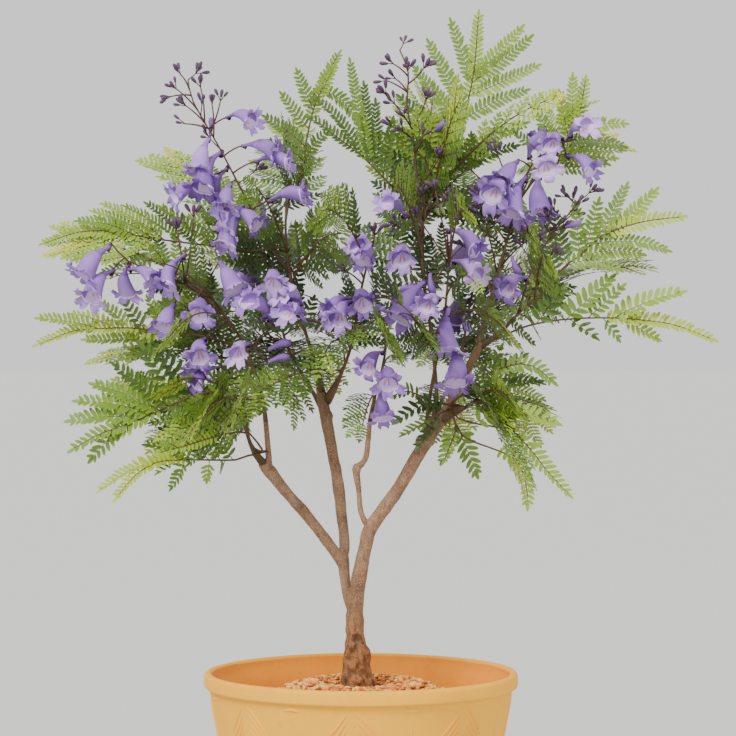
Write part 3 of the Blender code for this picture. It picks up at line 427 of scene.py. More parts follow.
# Fronds on the near side, each drawn out in full, under the mass that carries them: (which of its fronds
# this stands for or None, lean, leaf size, fold, tone, the midrib's points (x, z, y), its combs). A comb of
# leaflets leaves the midrib at a share of its length for its own tip, with its middle raised: (share, x, z,
# rise), or with a size as well. Leaflets stand along the midrib itself from MIDRIB_LEAVES on. A fold of 0 is
# a flat comb, and tone makes it yellower.
FANS = {
    "upper_left_foliage": [
        (0, 76, 0.86, 0.16, -0.04, [
            (-61, 712, 2), (-57, 724, 3), (-54, 738, 4), (-52, 757, 4), (-49, 772, 5), (-45, 788, 6),
            (-39, 803, 6), (-33, 819, 7), (-22, 838, 8),
        ], [
            (0.57, -60, 821, 0), (0.43, -74, 799, 0), (0.3, -89, 778, 2), (0.2, -85, 756, 2),
            (0.7, 1, 769, 11), (0.66, -26, 826, 0), (0.17, -31, 765, 6), (0.07, -41, 737, 3),
        ]),
        (None, 58, 0.84, 0.3, 0.05, [
            (-116, 652, 12), (-139, 656, 13), (-163, 659, 14), (-202, 664, 15), (-235, 670, 16),
            (-268, 670, 17), (-302, 659, 18),
        ], [
            (0.59, -280, 648, 5), (0.53, -268, 680, 4), (0.44, -254, 689, 4), (0.38, -243, 695, 4),
            (0.29, -223, 693, 3), (0.21, -202, 695, 2), (0.13, -189, 692, 2), (0.44, -221, 649, 0),
            (0.65, -252, 652, 0),
        ]),
    ],
    "top_foliage": [
        (1, 50, 0.84, 0.42, -0.12, [
            (31, 712, 0), (18, 725, -2), (-1, 744, -4), (-20, 758, -6), (-39, 773, -8), (-47, 777, -10),
        ], [
            (0.36, -41, 795, 6), (0.32, -10, 830, 0), (0.27, 3, 808, 0), (0.21, 14, 791, 0),
            (0.14, 30, 774, 0),
        ]),
        (0, 82, 0.9, 0.12, -0.11, [
            (84, 722, 2), (95, 753, 2), (99, 777, 1), (103, 799, 1), (108, 824, 0), (112, 875, 0),
        ], [
            (0.6, 87, 867, 0), (0.42, 66, 848, 0), (0.31, 53, 824, 0), (0.18, 39, 797, 2),
            (0.09, 50, 756, 3), (0.64, 151, 862, -2), (0.6, 159, 853, -2), (0.51, 166, 827, 0),
            (0.37, 155, 804, 3), (0.11, 155, 773, 5), (0.05, 145, 751, 2),
        ]),
    ],
    "upper_right_foliage": [
        (0, 76, 0.86, 0.12, -0.08, [
            (180, 734, 6), (192, 752, 8), (205, 769, 10), (210, 790, 12), (214, 813, 14),
        ], [
            (0.17, 166, 790, 0), (0.35, 190, 800, 0), (0.44, 202, 815, 0), (0.44, 249, 773, 3),
            (0.3, 248, 752, 4), (0.12, 232, 736, 4), (0.05, 149, 763, 0),
        ]),
    ],
    "right_foliage": [
        (0, 74, 1, 0.14, -0.04, [
            (182, 625, -12), (198, 640, -12), (209, 647, -13), (228, 665, -13), (266, 679, -14),
            (304, 684, -14),
        ], [
            (0.12, 244, 635, 7), (0.22, 265, 649, 5), (0.35, 290, 653, 6), (0.45, 279, 707, -3),
            (0.4, 252, 711, -2), (0.31, 226, 696, 0), (0.25, 205, 693, 0), (0.14, 185, 686, 0),
            (0.05, 174, 679, 0),
        ]),
        (1, 56, 1.08, 0.3, 0, [
            (133, 569, -11), (152, 578, -12), (171, 583, -14), (190, 586, -15), (228, 588, -16),
            (266, 586, -17), (300, 581, -19), (334, 568, -20),
        ], [
            (0.18, 190, 612, 0, 1.35), (0.32, 236, 623, 0, 1.3), (0.335, 221, 571, 0, 1.2),
            (0.42, 247, 615, 0), (0.49, 244, 570, 0), (0.54, 301, 611, 3, 1.2), (0.58, 281, 569, 0),
        ]),
    ],
    "left_foliage": [
        (1, 52, 0.92, 0.36, 0.02, [
            (-116, 561, 2), (-154, 571, -2), (-199, 576, -6), (-216, 578, -10), (-240, 578, -14),
            (-273, 576, -18), (-287, 571, -22), (-307, 563, -26),
        ], [
            (0.7, -304, 587, 2), (0.61, -273, 591, 2), (0.55, -249, 601, 2), (0.475, -223, 600, 0, 1.2),
            (0.37, -202, 604, 0), (0.42, -218, 571, 0, 1.3), (0.35, -261, 567, -2),
        ]),
    ],
    "low_left_foliage": [
        (0, 56, 1.15, 0.26, -0.12, [
            (-110, 511, -28), (-135, 518, -32), (-154, 515, -37), (-180, 505, -41), (-202, 495, -45),
            (-230, 484, -49), (-254, 475, -54), (-272, 464, -58),
        ], [
            (0.3, -190, 554, 0, 1.2), (0.37, -205, 555, 0, 1.25), (0.45, -232, 540, 0), (0.5, -251, 523, 2),
            (0.55, -266, 508, 3), (0.62, -274, 490, 3), (0.75, -255, 456, 0), (0.66, -235, 475, 0, 1.3),
        ]),
        (1, 50, 0.96, 0.36, 0.05, [
            (-95, 459, -14), (-108, 456, -21), (-120, 452, -27), (-144, 452, -34), (-173, 452, -40),
            (-197, 449, -47), (-216, 437, -53), (-232, 418, -60),
        ], [
            (0.55, -247, 425, 8), (0.45, -202, 466, 3), (0.35, -187, 480, 3), (0.28, -175, 493, 3),
            (0.2, -161, 501, 2), (0.5, -180, 427, -2), (0.55, -192, 441, 0), (0.35, -147, 435, 0),
            (0.25, -133, 442, 0),
        ]),
        (None, 60, 0.84, 0.2, 0.03, [
            (-95, 463, -20), (-106, 477, -30), (-117, 479, -40), (-144, 473, -50), (-163, 467, -60),
            (-192, 459, -70),
        ], [
            (0.3, -149, 511, 0), (0.45, -161, 501, 0), (0.6, -173, 490, 2), (0.75, -182, 478, 2),
            (0.85, -189, 467, 2), (0.5, -163, 450, 0), (0.3, -139, 456, 0),
        ]),
    ],
    "low_right_foliage": [
        (0, 54, 1.15, 0.3, 0.14, [
            (85, 501, -50), (93, 492, -55), (114, 486, -59), (135, 482, -64), (157, 468, -69),
            (176, 444, -73), (196, 422, -78),
        ], [
            (0.2, 181, 489, 8, 1.2),
        ]),
        (None, 56, 1.12, 0.26, 0.12, [
            (87, 496, -50), (97, 475, -60), (123, 464, -70), (145, 454, -80), (157, 433, -90),
            (159, 412, -100),
        ], [
            (0.15, 109, 442, 0, 1.1),
        ]),
        (2, 54, 1.05, 0.26, -0.1, [
            (85, 505, -48), (95, 513, -50), (107, 526, -52), (118, 534, -54), (152, 544, -56),
            (171, 538, -58), (181, 529, -60),
        ], [
            (0.5, 154, 551, 0), (0.45, 133, 557, 0), (0.1, 167, 527, 2),
        ]),
        (None, 60, 0.95, 0.2, 0, [
            (85, 501, -50), (91, 485, -61), (87, 471, -73), (80, 453, -84),
        ], [
            (0.3, 78, 453, 0),
        ]),
        (None, 50, 1, 0.24, -0.06, [
            (84, 500, -50), (72, 495, -57), (58, 486, -64), (42, 477, -70),
        ], [
            (0.2, 56, 467, 0), (0.1, 58, 507, 3),
        ]),
        (5, 50, 1, 0.26, -0.04, [
            (82, 505, -48), (61, 511, -55), (45, 518, -63), (28, 512, -70),
        ], [
            (0.05, 38, 492, 5, 1.2),
        ]),
    ],
}

# Twigs of buds under the mass that carries them: (foot x, z, y, tip x, z, y, buds).
SPRIGS = {
    "upper_left_foliage": [
        (-147, 773, -5, -167, 790, -8, 4), (-148, 775, -5, -153, 808, -2, 5),
        (-137, 762, -5, -142, 791, -10, 3), (-139, 768, -5, -134, 795, -4, 3),
        (-150, 766, -5, -168, 773, -12, 2), (-156, 786, -4, -176, 806, 0, 4),
        (-162, 800, -3, -181, 799, -6, 3), (-163, 806, -3, -172, 820, -4, 3),
    ],
    "top_foliage": [
        (45, 811, -2, 60, 826, -6, 4), (43, 803, -2, 33, 816, 2, 3), (43, 803, -3, 25, 814, -8, 2),
        (44, 818, -2, 31, 830, -4, 4), (46, 770, -4, 24, 801, -10, 5), (49, 767, -4, 62, 796, -12, 5),
        (46, 768, -4, 41, 779, -18, 3), (48, 756, -4, 40, 766, -20, 3), (51, 745, -4, 59, 761, -18, 3),
        (50, 758, -4, 29, 771, -8, 3), (62, 690, 2, 80, 702, -24, 5), (60, 680, 2, 58, 704, -24, 4),
        (72, 706, 2, 102, 692, -26, 5), (50, 690, 0, 44, 716, -26, 5), (62, 712, 0, 74, 740, -22, 5),
        (60, 664, 0, 34, 676, -30, 4),
    ],
    "centre_foliage": [(2, 620, -12, -15, 633, -30, 3), (4, 640, -14, 13, 667, -28, 4)],
    "front_right_foliage": [
        (80, 680, -44, 71, 709, -50, 5), (82, 668, -44, 86, 696, -54, 5), (78, 640, -46, 53, 684, -58, 4),
    ],
    "upper_right_foliage": [
        (130, 630, -2, 112, 704, -30, 5), (140, 690, -4, 94, 738, -20, 5), (150, 690, -6, 130, 745, -30, 5),
        (136, 655, 0, 100, 684, -30, 5),
    ],
    "left_foliage": [(-168, 620, -8, -176, 672, -16, 5), (-168, 620, -8, -160, 684, -10, 4)],
}


# --- colours ---
def tint(red, green, blue):
    """A colour given as 0 to 255 on screen, as the light values that a shader takes."""
    steps = [value / 255 for value in (red, green, blue)]
    light = [step / 12.92 if step <= 0.04045 else ((step + 0.055) / 1.055) ** 2.4 for step in steps]
    return (*light, 1.0)


GREENS = {
    "deep": tint(50, 74, 16),
    "dark": tint(76, 104, 22),
    "middle": tint(108, 140, 34),
    "fresh": tint(138, 167, 44),
    "lime": tint(160, 180, 48),
    "golden": tint(184, 188, 58),
}
# The petals' four shades from dark to light, the parts inside the mouth, and the calyx.
PETALS = {
    "petal_shade": tint(126, 88, 168),
    "petal_violet": tint(148, 108, 192),
    "petal_lilac": tint(172, 134, 212),
    "petal_pale": tint(200, 166, 230),
    "petal_heart": tint(222, 192, 238),
    "petal_throat": tint(220, 190, 236),
    "petal_streak": tint(204, 146, 172),
    "calyx": tint(84, 50, 78),
}
BUD = tint(84, 56, 88)
# Fired clay outside and inside: its light, warm and stained tints. Inside, the same clay is painted darker
# and more orange: painted shade and painted bounce light of the pot's hollow.
CLAY = (tint(248, 181, 28), tint(240, 164, 18), tint(206, 130, 14))
CLAY_LINING_PAINTED_SHADE = (tint(242, 150, 8), tint(232, 130, 6), tint(192, 98, 4))
STONES = {
    "peach": tint(250, 178, 84),
    "pink": tint(240, 154, 78),
    "cream": tint(252, 206, 114),
    "rust": tint(214, 120, 50),
    "brown": tint(158, 92, 42),
}


# --- shader nodes ---
class Value:
    """A socket of a shader. Arithmetic on it adds Math nodes."""

    def __init__(self, finish, socket):
        self.finish = finish
        self.socket = socket

    def math(self, operation, *values):
        return self.finish.node("ShaderNodeMath", {"operation": operation}, dict(enumerate(values)))

    def __add__(self, other):
        return self.math("ADD", self, other)

    def __sub__(self, other):
        return self.math("SUBTRACT", self, other)

    def __rsub__(self, other):
        return self.math("SUBTRACT", other, self)

    def __mul__(self, other):
        return self.math("MULTIPLY", self, other)

    def between(self, low, high):
        """0 below low, 1 above high, and a straight rise between them."""
        return self.finish.node(
            "ShaderNodeMapRange", {"clamp": True}, {"Value": self, "From Min": low, "From Max": high}
        )


class Finish:
    """One material, and the calls that add its nodes."""

    def __init__(self, name, colour, roughness):
        self.material = bpy.data.materials.new(name)
        self.material.use_nodes = True
        self.material.diffuse_color = colour
        self.tree = self.material.node_tree
        self.shader = self.tree.nodes["Principled BSDF"]
        self.set("Base Color", colour)
        self.set("Roughness", roughness)

    def set(self, socket, value):
        self.feed(self.shader.inputs[socket], value)

    def feed(self, socket, value):
        if isinstance(value, Value):
            self.tree.links.new(value.socket, socket)
        else:
            socket.default_value = value

    def node(self, kind, settings, sockets, output=0):
        made = self.tree.nodes.new(kind)
        for name, value in settings.items():
            setattr(made, name, value)
        for name, value in sockets.items():
            self.feed(made.inputs[name], value)
        return Value(self, made.outputs[output])

    def place(self):
        return self.node("ShaderNodeTexCoord", {}, {}, "Object")

    def stretched(self, stretch):
        return self.node("ShaderNodeMapping", {}, {"Vector": self.place(), "Scale": stretch})

    def noise(self, scale, detail, rough, vector=None):
        sockets = {"Vector": vector or self.place(), "Scale": scale, "Detail": detail, "Roughness": rough}
        return self.node("ShaderNodeTexNoise", {"noise_dimensions": "3D"}, sockets, "Fac")

    def mix(self, factor, first, second):
        settings = {"data_type": "RGBA", "blend_type": "MIX"}
        return self.node("ShaderNodeMix", settings, {0: factor, 6: first, 7: second}, 2)

    def near(self, point, radius):
        """1 at a point, falling to 0 at this distance from it."""
        settings = {"operation": "DISTANCE"}
        gap = self.node("ShaderNodeVectorMath", settings, {0: self.place(), 1: point}, "Value")
        return 1 - gap.between(radius * 0.35, radius)

    def bump(self, height, strength, distance):
        sockets = {"Height": height, "Strength": strength, "Distance": distance}
        self.set("Normal", self.node("ShaderNodeBump", {}, sockets))


def fired_clay(name, light, warm, stain):
    """Pale terracotta: broad mottling, a fine sandy grain and a few darker pits."""
    clay = Finish(name, light, 0.78)
    broad = clay.noise(11, 4, 0.6).between(0.35, 0.68)
    smudge = clay.noise(34, 5, 0.65).between(0.55, 0.8)
    pits = clay.noise(330, 2, 0.5).between(0.68, 0.76)
    colour = clay.mix(broad * 0.55, light, warm)
    colour = clay.mix(smudge * 0.3, colour, stain)
    clay.set("Base Color", clay.mix(pits * 0.45, colour, stain))
    grain = clay.noise(520, 3, 0.6)
    clay.set("Roughness", grain * 0.2 + 0.66)
    clay.bump(grain * 0.5 + smudge * 0.5 - pits * 0.9, 0.35, 0.8 * MM)
    return clay.material


def bark(name):
    """Grey-brown speckled bark, rougher and darker at the foot, with dark scars where shoots were cut, and
    painted shade of the crown on the upper boughs.
    """
    skin = Finish(name, tint(150, 114, 84), 0.86)
    height = skin.node("ShaderNodeSeparateXYZ", {}, {0: skin.place()}, "Z")
    foot = 1 - height.between(*FOOT_TINT)
    flow = skin.stretched((1, 1, 0.3))
    broad = skin.noise(48, 4, 0.6).between(0.36, 0.66)
    cracks = skin.noise(230, 4, 0.7, flow).between(0.52, 0.66)
    specks = skin.noise(1000, 2, 0.5).between(0.5, 0.62)
    colour = skin.mix(broad, tint(158, 122, 92), tint(122, 84, 56))
    colour = skin.mix(specks * 0.45, colour, tint(200, 180, 156))
    blotches = skin.noise(120, 5, 0.7).between(0.46, 0.56)
    colour = skin.mix(foot * 0.7, colour, tint(154, 94, 34))
    colour = skin.mix(foot * blotches * 0.6, colour, tint(62, 38, 22))
    colour = skin.mix(cracks * (foot * 0.5 + 0.35), colour, tint(60, 36, 22))
    # Painted shade of the crown: the upper boughs darker and greener-brown.
    crown_shade = height.between(*CROWN_SHADE_HEIGHTS)
    colour = skin.mix(crown_shade * 0.75, colour, tint(98, 76, 44))
    scars = skin.near(place(*HOLLOWS[0][:3]), 6 * MM) + skin.near(place(*HOLLOWS[1][:3]), 4.5 * MM)
    skin.set("Base Color", skin.mix(scars, colour, tint(44, 26, 16)))
    skin.bump(specks * 0.35 - cracks * 0.8 + skin.noise(900, 2, 0.6) * 0.4, 0.55, 0.9 * MM)
    return skin.material


def twig_skin(name, light, dark):
    twig = Finish(name, light, 0.7)
    patches = twig.noise(70, 3, 0.6).between(0.35, 0.65)
    twig.set("Base Color", twig.mix(patches, light, dark))
    twig.bump(twig.noise(800, 2, 0.6), 0.3, 0.4 * MM)
    return twig.material


def damp_soil(name):
    soil = Finish(name, tint(186, 128, 84), 0.95)
    crumbs = soil.noise(260, 4, 0.7).between(0.35, 0.7)
    soil.set("Base Color", soil.mix(crumbs, tint(214, 154, 104), tint(140, 90, 56)))
    soil.bump(crumbs, 0.8, 1.5 * MM)
    return soil.material


def chip_stone(name, colour):
    stone = Finish(name, colour, 0.8)
    grain = stone.noise(420, 3, 0.6).between(0.3, 0.75)
    darker = tuple(value * 0.84 for value in colour[:3]) + (1.0,)
    stone.set("Base Color", stone.mix(grain, colour, darker))
    stone.bump(grain, 0.35, 0.5 * MM)
    return stone.material


def plain(name, colour, roughness):
    return Finish(name, colour, roughness).material


# --- pieces ---
def put(name, data):
    """A new object with this data, in the scene."""
    made = bpy.data.objects.new(name, data)
    bpy.context.scene.collection.objects.link(made)
    return made


def mesh_from(bm, name):
    mesh = bpy.data.meshes.new(name)
    bm.to_mesh(mesh)
    bm.free()
    return mesh


def piece_of(name, shape, nodes, finishes, smooth=True):
    """A finished piece: it rides on the plant's one body and stands for these nodes of the solids."""
    mesh = shape.mesh(name) if isinstance(shape, Heap) else mesh_from(shape, name)
    for finish in finishes:
        mesh.materials.append(finish)
    if smooth:
        mesh.shade_smooth()
    piece = put(name, mesh)
    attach(piece, "root")
    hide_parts(*nodes)


def applied(mesh, *modifiers):
    """The mesh after these modifiers: each is a type and its settings."""
    holder = put(mesh.name + "_draft", mesh)
    for kind, settings in modifiers:
        modifier = holder.modifiers.new(kind, kind)
        for name, value in settings.items():
            setattr(modifier, name, value)
    graph = bpy.context.evaluated_depsgraph_get()
    result = bpy.data.meshes.new_from_object(holder.evaluated_get(graph), depsgraph=graph)
    bpy.data.objects.remove(holder)
    return result


class Pattern:
    """A small shape to be copied many times: its points, triangles and the finish number of each."""

    def __init__(self, bm):
        bmesh.ops.triangulate(bm, faces=bm.faces[:])
        bm.verts.index_update()
        self.points = np.array([vert.co[:] for vert in bm.verts])
        self.triangles = np.array([[vert.index for vert in face.verts] for face in bm.faces])
        self.marks = np.array([face.material_index for face in bm.faces])
        bm.free()


def unit(rows):
    """Each row of an array at a length of 1."""
    return rows / np.linalg.norm(rows, axis=1)[:, None]


class Heap:
    """Many small shapes joined by arrays into one mesh."""

    def __init__(self):
        self.points = []
        self.triangles = []
        self.marks = []
        self.count = 0

    def add(self, points, triangles, marks):
        self.points.append(points)
        self.triangles.append(triangles + self.count)
        self.marks.append(marks)
        self.count += len(points)

    def add_copy(self, pattern, origin, axes, marks):
        """One copy at a point; axes holds where the pattern's X, Y and Z go."""
        self.add(np.array(origin) + pattern.points @ np.array(axes), pattern.triangles, marks)

    def add_copies(self, pattern, origins, axes):
        """One copy at each origin, with its own axes."""
        points = origins[:, None, :] + np.einsum("pk,nkd->npd", pattern.points, axes)
        offsets = np.arange(len(origins))[:, None, None] * len(pattern.points)
        triangles = (pattern.triangles[None] + offsets).reshape(-1, 3)
        self.add(points.reshape(-1, 3), triangles, np.zeros(len(triangles)))

    def add_rod(self, points, radii, sides):
        """A tapering rod with closed ends. radii is a pair of end sizes or one size for each point."""
        run = np.array([point[:] for point in points])
        count = len(run)
        sizes = np.array(radii) if len(radii) == count else np.linspace(radii[0], radii[1], count)
        heading = unit(np.gradient(run, axis=0))
        across = np.array((Vector(run[-1]) - Vector(run[0])).orthogonal().normalized())
        first = unit(across - heading * (heading @ across)[:, None])
        second = np.cross(heading, first)
        turns = (2 * np.pi * np.arange(sides) / sides)[None, :, None]
        spokes = first[:, None] * np.cos(turns) + second[:, None] * np.sin(turns)
        rings = (run[:, None] + spokes * sizes[:, None, None]).reshape(-1, 3)
        near = np.arange(sides)
        after = (near + 1) % sides
        band = np.concatenate([
            np.stack([near, after, after + sides], 1),
            np.stack([near, after + sides, near + sides], 1),
        ])
        walls = (band[None] + (np.arange(count - 1) * sides)[:, None, None]).reshape(-1, 3)
        fan = np.stack([np.zeros(sides - 2, int), np.arange(2, sides), np.arange(1, sides - 1)], 1)
        triangles = np.concatenate([walls, fan, fan[:, ::-1] + (count - 1) * sides])
        self.add(rings, triangles, np.zeros(len(triangles)))

    def mesh(self, name):
        mesh = bpy.data.meshes.new(name)
        mesh.from_pydata(np.concatenate(self.points), [], np.concatenate(self.triangles))
        mesh.polygons.foreach_set("material_index", np.concatenate(self.marks).astype(np.int32))
        mesh.update()
        return mesh


# --- curves in space ---
def smooth_route(stations, step):
    """Points about one step apart on a Catmull-Rom curve through the stations, all of them tuples."""
    route = []
    ends = [stations[0], *stations, stations[-1]]

    def passing(a, b, c, d, t):
        square = (2 * a - 5 * b + 4 * c - d) * t**2
        cube = (3 * b - a - 3 * c + d) * t**3
        return 0.5 * (2 * b + (c - a) * t + square + cube)

    for four in zip(ends, ends[1:], ends[2:], ends[3:]):
        count = max(1, round(math.dist(four[1][:3], four[2][:3]) / step))
        for index in range(count):
            route.append(tuple(passing(*values, index / count) for values in zip(*four)))
    return [*route, tuple(stations[-1])]


def points_of(stations):
    """Points on the smooth route through places (x, z, y) of a table."""
    return [Vector(point) for point in smooth_route([tuple(place(*s)) for s in stations], STEM_STEP)]


def part_way(ends, share):
    """The value at this share of the way from the first of a pair to the second."""
    return ends[0] + (ends[1] - ends[0]) * share


def length_of(points):
    return sum((after - before).length for before, after in zip(points, points[1:]))


def along(points, share):
    """The point that lies at this share of the whole length of a run of points."""
    left = share * length_of(points)
    for start, end in zip(points, points[1:]):
        length = (end - start).length
        if left <= length:
            return start.lerp(end, left / length)
        left -= length
    return points[-1].copy()


def bow(root, middle, tip, shares):
    """Points on the curve that leaves root towards middle and arrives at tip."""
    return [root * (1 - t) ** 2 + middle * 2 * t * (1 - t) + tip * t**2 for t in shares]


def nearest_on(runs, point):
    """The nearest place to a point on these runs of points."""
    best = None
    for run in runs:
        for start, end in zip(run, run[1:]):
            course = end - start
            share = max(0, min(1, (point - start).dot(course) / course.length_squared))
            found = start + course * share
            if best is None or (found - point).length < (best - point).length:
                best = found
    return best


# --- pot ---
def outer_radius(height):
    """The radius of the pot's tapered body at a height."""
    share = height / (POT_HEIGHT - POT_BAND_HEIGHT)
    return POT_BASE_RADIUS + (POT_RIM_RADIUS - POT_BAND_STEP - POT_BASE_RADIUS) * share


def inner_radius(height):
    return outer_radius(height) - POT_WALL


def arc(centre_radius, centre_height, radius, start, end, count):
    """Points of (radius, height) on an arc in the turning plane, angles in degrees."""
    angles = [math.radians(start + (end - start) * index / (count - 1)) for index in range(count)]
    return [(centre_radius + radius * math.cos(a), centre_height + radius * math.sin(a)) for a in angles]


def spun(profile, steps, weld=0.02 * MM):
    """A profile of (radius, height) turned once round the Z axis, with its seam and poles closed."""
    bm = bmesh.new()
    verts = [bm.verts.new((radius, 0, height)) for radius, height in profile]
    edges = [bm.edges.new(pair) for pair in zip(verts, verts[1:])]
    bmesh.ops.spin(
        bm, geom=[*verts, *edges], cent=(0, 0, 0), axis=(0, 0, 1), angle=2 * math.pi,
        steps=steps, use_merge=True,
    )
    bmesh.ops.remove_doubles(bm, verts=bm.verts[:], dist=weld)
    bmesh.ops.recalc_face_normals(bm, faces=bm.faces[:])
    return bm


def make_pot(finishes):
    """The thrown pot: its wall wanders by under half a millimetre, and its lining has the second finish, the
    clay painted darker and more orange as painted shade and bounce light.
    """
    band = POT_HEIGHT - POT_BAND_HEIGHT
    neck = outer_radius(band)
    lip_height = POT_HEIGHT - POT_LIP
    foot = arc(POT_BASE_RADIUS - POT_FOOT_ROUND, POT_FOOT_ROUND, POT_FOOT_ROUND, -90, 0, 6)
    lip_outer = arc(POT_RIM_RADIUS - POT_LIP, lip_height, POT_LIP, 0, 90, 10)
    lip_inner = arc(POT_MOUTH_RADIUS + POT_LIP, lip_height, POT_LIP, 90, 180, 10)
    under_band = arc(POT_RIM_RADIUS - 2 * MM, band + 2 * MM, 2 * MM, -90, 0, 6)
    heights = np.linspace(POT_FOOT_ROUND, band - 2.2 * MM, 26)[1:]
    wall = [(outer_radius(height), height) for height in heights]
    lining = [(inner_radius(height), height) for height in np.linspace(POT_FLOOR + 8 * MM, band, 18)]
    profile = [
        (0, 0), (POT_BASE_RADIUS - 12 * MM, 0), *foot, *wall,
        (neck + 0.6 * MM, band - 0.6 * MM), (neck + 1.8 * MM, band - 0.1 * MM),
        *under_band, (POT_RIM_RADIUS + 0.3 * MM, band + 6 * MM), *lip_outer, *lip_inner,
        (POT_MOUTH_RADIUS - 0.4 * MM, POT_HEIGHT - 9 * MM), *reversed(lining),
        (inner_radius(POT_FLOOR) - 8 * MM, POT_FLOOR), (0, POT_FLOOR),
    ]
    bm = spun(profile, POT_STEPS)
    for vert in bm.verts:
        out = Vector((vert.co.x, vert.co.y, 0))
        if out.length > 1 * MM:
            vert.co += out.normalized() * noise.noise(vert.co * 22) * 0.45 * MM
            vert.co.z += noise.noise(vert.co * 9) * 0.35 * MM * min(1, vert.co.z / (30 * MM))
    # Faces inside the pot, above its floor, take the lining's clay with its painted shade and bounce light.
    for face in bm.faces:
        middle = face.calc_center_median()
        limit = POT_MOUTH_RADIUS + 0.4 * MM - max(0, band - middle.z) * POT_SLOPE
        lined = math.hypot(middle.x, middle.y) < limit
        face.material_index = int(lined and middle.z > POT_FLOOR / 2)
    piece_of("pot_body", bm, ["pot"], finishes)


def on_wall(angle, height, proud):
    """A point on the pot's outer wall; an angle of 0 faces the front."""
    radius = outer_radius(height) + proud
    return Vector((math.sin(angle) * radius, -math.cos(angle) * radius, height))


def stroke(bm, start, end, width):
    """A low raised stroke on the pot's wall, slim at both ends, from (angle, height) to (angle, height)."""
    made = bmesh.ops.create_grid(bm, x_segments=12, y_segments=4, size=1)["verts"]
    radius = outer_radius(start[1])
    course = Vector(((end[0] - start[0]) * radius, end[1] - start[1]))
    sideways = Vector((-course.y, course.x)).normalized()
    for vert in made:
        share, across = (vert.co.x + 1) / 2, vert.co.y
        spread = math.sin(math.pi * (0.04 + 0.92 * share)) ** 0.55 * width / 2 * across
        bend = math.sin(math.pi * share) * STROKE_BEND
        flat = course * share + sideways * (spread + bend)
        crown = (1 - across**2) * math.sin(math.pi * share) ** 0.4
        proud = STROKE_HEIGHT * crown - STROKE_SUNK
        vert.co = on_wall(start[0] + flat.x / radius, start[1] + flat.y, proud)


def make_ornament(finish):
    """Pressed ears of leaves round the wall, with an upright T-shaped bar between each two."""
    bm = bmesh.new()
    turn = 2 * math.pi / PANELS
    for panel in range(PANELS):
        middle = panel * turn - PANEL_SHIFT
        for row in range(EAR_ROWS):
            height = EAR_TOP - row * EAR_GAP_MM * MM
            reach = EAR_REACH * (1 - 0.02 * row)
            for hand in (-1, 1):
                foot = (middle + hand * EAR_STEM, height)
                stroke(bm, foot, (middle + hand * reach, height - EAR_DROP), EAR_STROKE)
        bar = middle + turn / 2
        crossbar = EAR_TOP - 2 * MM
        stroke(bm, (bar, EAR_TOP - 3 * MM), (bar, BAR_FOOT), BAR_STROKE)
        stroke(bm, (bar - CROSSBAR_REACH, crossbar), (bar + CROSSBAR_REACH, crossbar), CROSSBAR_STROKE)
    bmesh.ops.recalc_face_normals(bm, faces=bm.faces[:])
    piece_of("pot_ornament", bm, ["pot"], [finish])


# --- soil and gravel ---
def soil_height(radius):
    """The height of the soil at a distance from the pot's axis: flat in the middle, falling to the wall."""
    edge = inner_radius(SOIL_EDGE)
    share = max(0, radius - SOIL_FLAT_RADIUS) / (edge - SOIL_FLAT_RADIUS)
    return SOIL_TOP - (SOIL_TOP - SOIL_EDGE) * min(1, share) ** SOIL_FALL


def make_soil(finish):
    edge = inner_radius(SOIL_EDGE) - 0.2 * MM
    top = [(radius, soil_height(radius)) for radius in np.linspace(0, edge, 40)]
    bottom = [(inner_radius(POT_FLOOR + 9 * MM) - 0.3 * MM, POT_FLOOR + 9 * MM)]
    bottom += [(inner_radius(POT_FLOOR) - 9 * MM, POT_FLOOR + 0.3 * MM), (0, POT_FLOOR + 0.3 * MM)]
    bm = spun([*top, *bottom], SOIL_STEPS)
    for vert in bm.verts:
        if vert.co.z > SOIL_EDGE + 0.5 * MM and math.hypot(vert.co.x, vert.co.y) > 1 * MM:
            vert.co.z += noise.noise(vert.co * 90) * 1.6 * MM
    piece_of("soil_bed", bm, ["soil"], [finish])


def chip_pattern(chance):
    """An angular chip of stone of unit size."""
    bm = bmesh.new()
    bmesh.ops.create_icosphere(bm, subdivisions=1, radius=1)
    for vert in bm.verts:
        vert.co *= chance.uniform(0.72, 1.12)
    return Pattern(bm)


def make_gravel(finishes):
    """Loose chips all over the soil, heaped in a low ring round the trunk."""
    chance = random.Random(SEED)
    patterns = [chip_pattern(chance) for _ in range(CHIP_SHAPES)]
    heap = Heap()
    edge = inner_radius(SOIL_EDGE) - GRAVEL_EDGE_GAP
    for index in range(CHIPS):
        radius = math.sqrt(chance.uniform(0.008, 1)) * edge
        angle = chance.uniform(0, 2 * math.pi)
        size = chance.uniform(*CHIP_SIZE)
        mound = GRAVEL_MOUND * math.exp(-(((radius - GRAVEL_RING) / GRAVEL_SPREAD) ** 2))
        lift = chance.uniform(-0.3, 0.8) * size + mound
        middle = (math.cos(angle) * radius, math.sin(angle) * radius, soil_height(radius) + lift)
        turn = Matrix.Rotation(angle * 3, 3, "Z") @ Matrix.Rotation(chance.uniform(-0.5, 0.5), 3, "X")
        extent = (size * chance.uniform(0.9, 1.35), size * 0.85, size * chance.uniform(0.45, 0.7))
        axes = (turn @ Matrix.Diagonal(extent)).transposed()
        pattern = patterns[index % CHIP_SHAPES]
        marks = np.full(len(pattern.triangles), chance.choice(STONE_MIX))
        heap.add_copy(pattern, Vector(middle), axes, marks)
    piece_of("gravel_chips", heap, ["soil"], finishes, smooth=False)


# --- bark ---
def limb_route(name, step):
    """Points and radii along a limb, in metres, as tuples of (x, y, z, radius)."""
    stations = [(*place(*station[:3]), station[3] * MM) for station in LIMBS[name]]
    return smooth_route(stations, step)


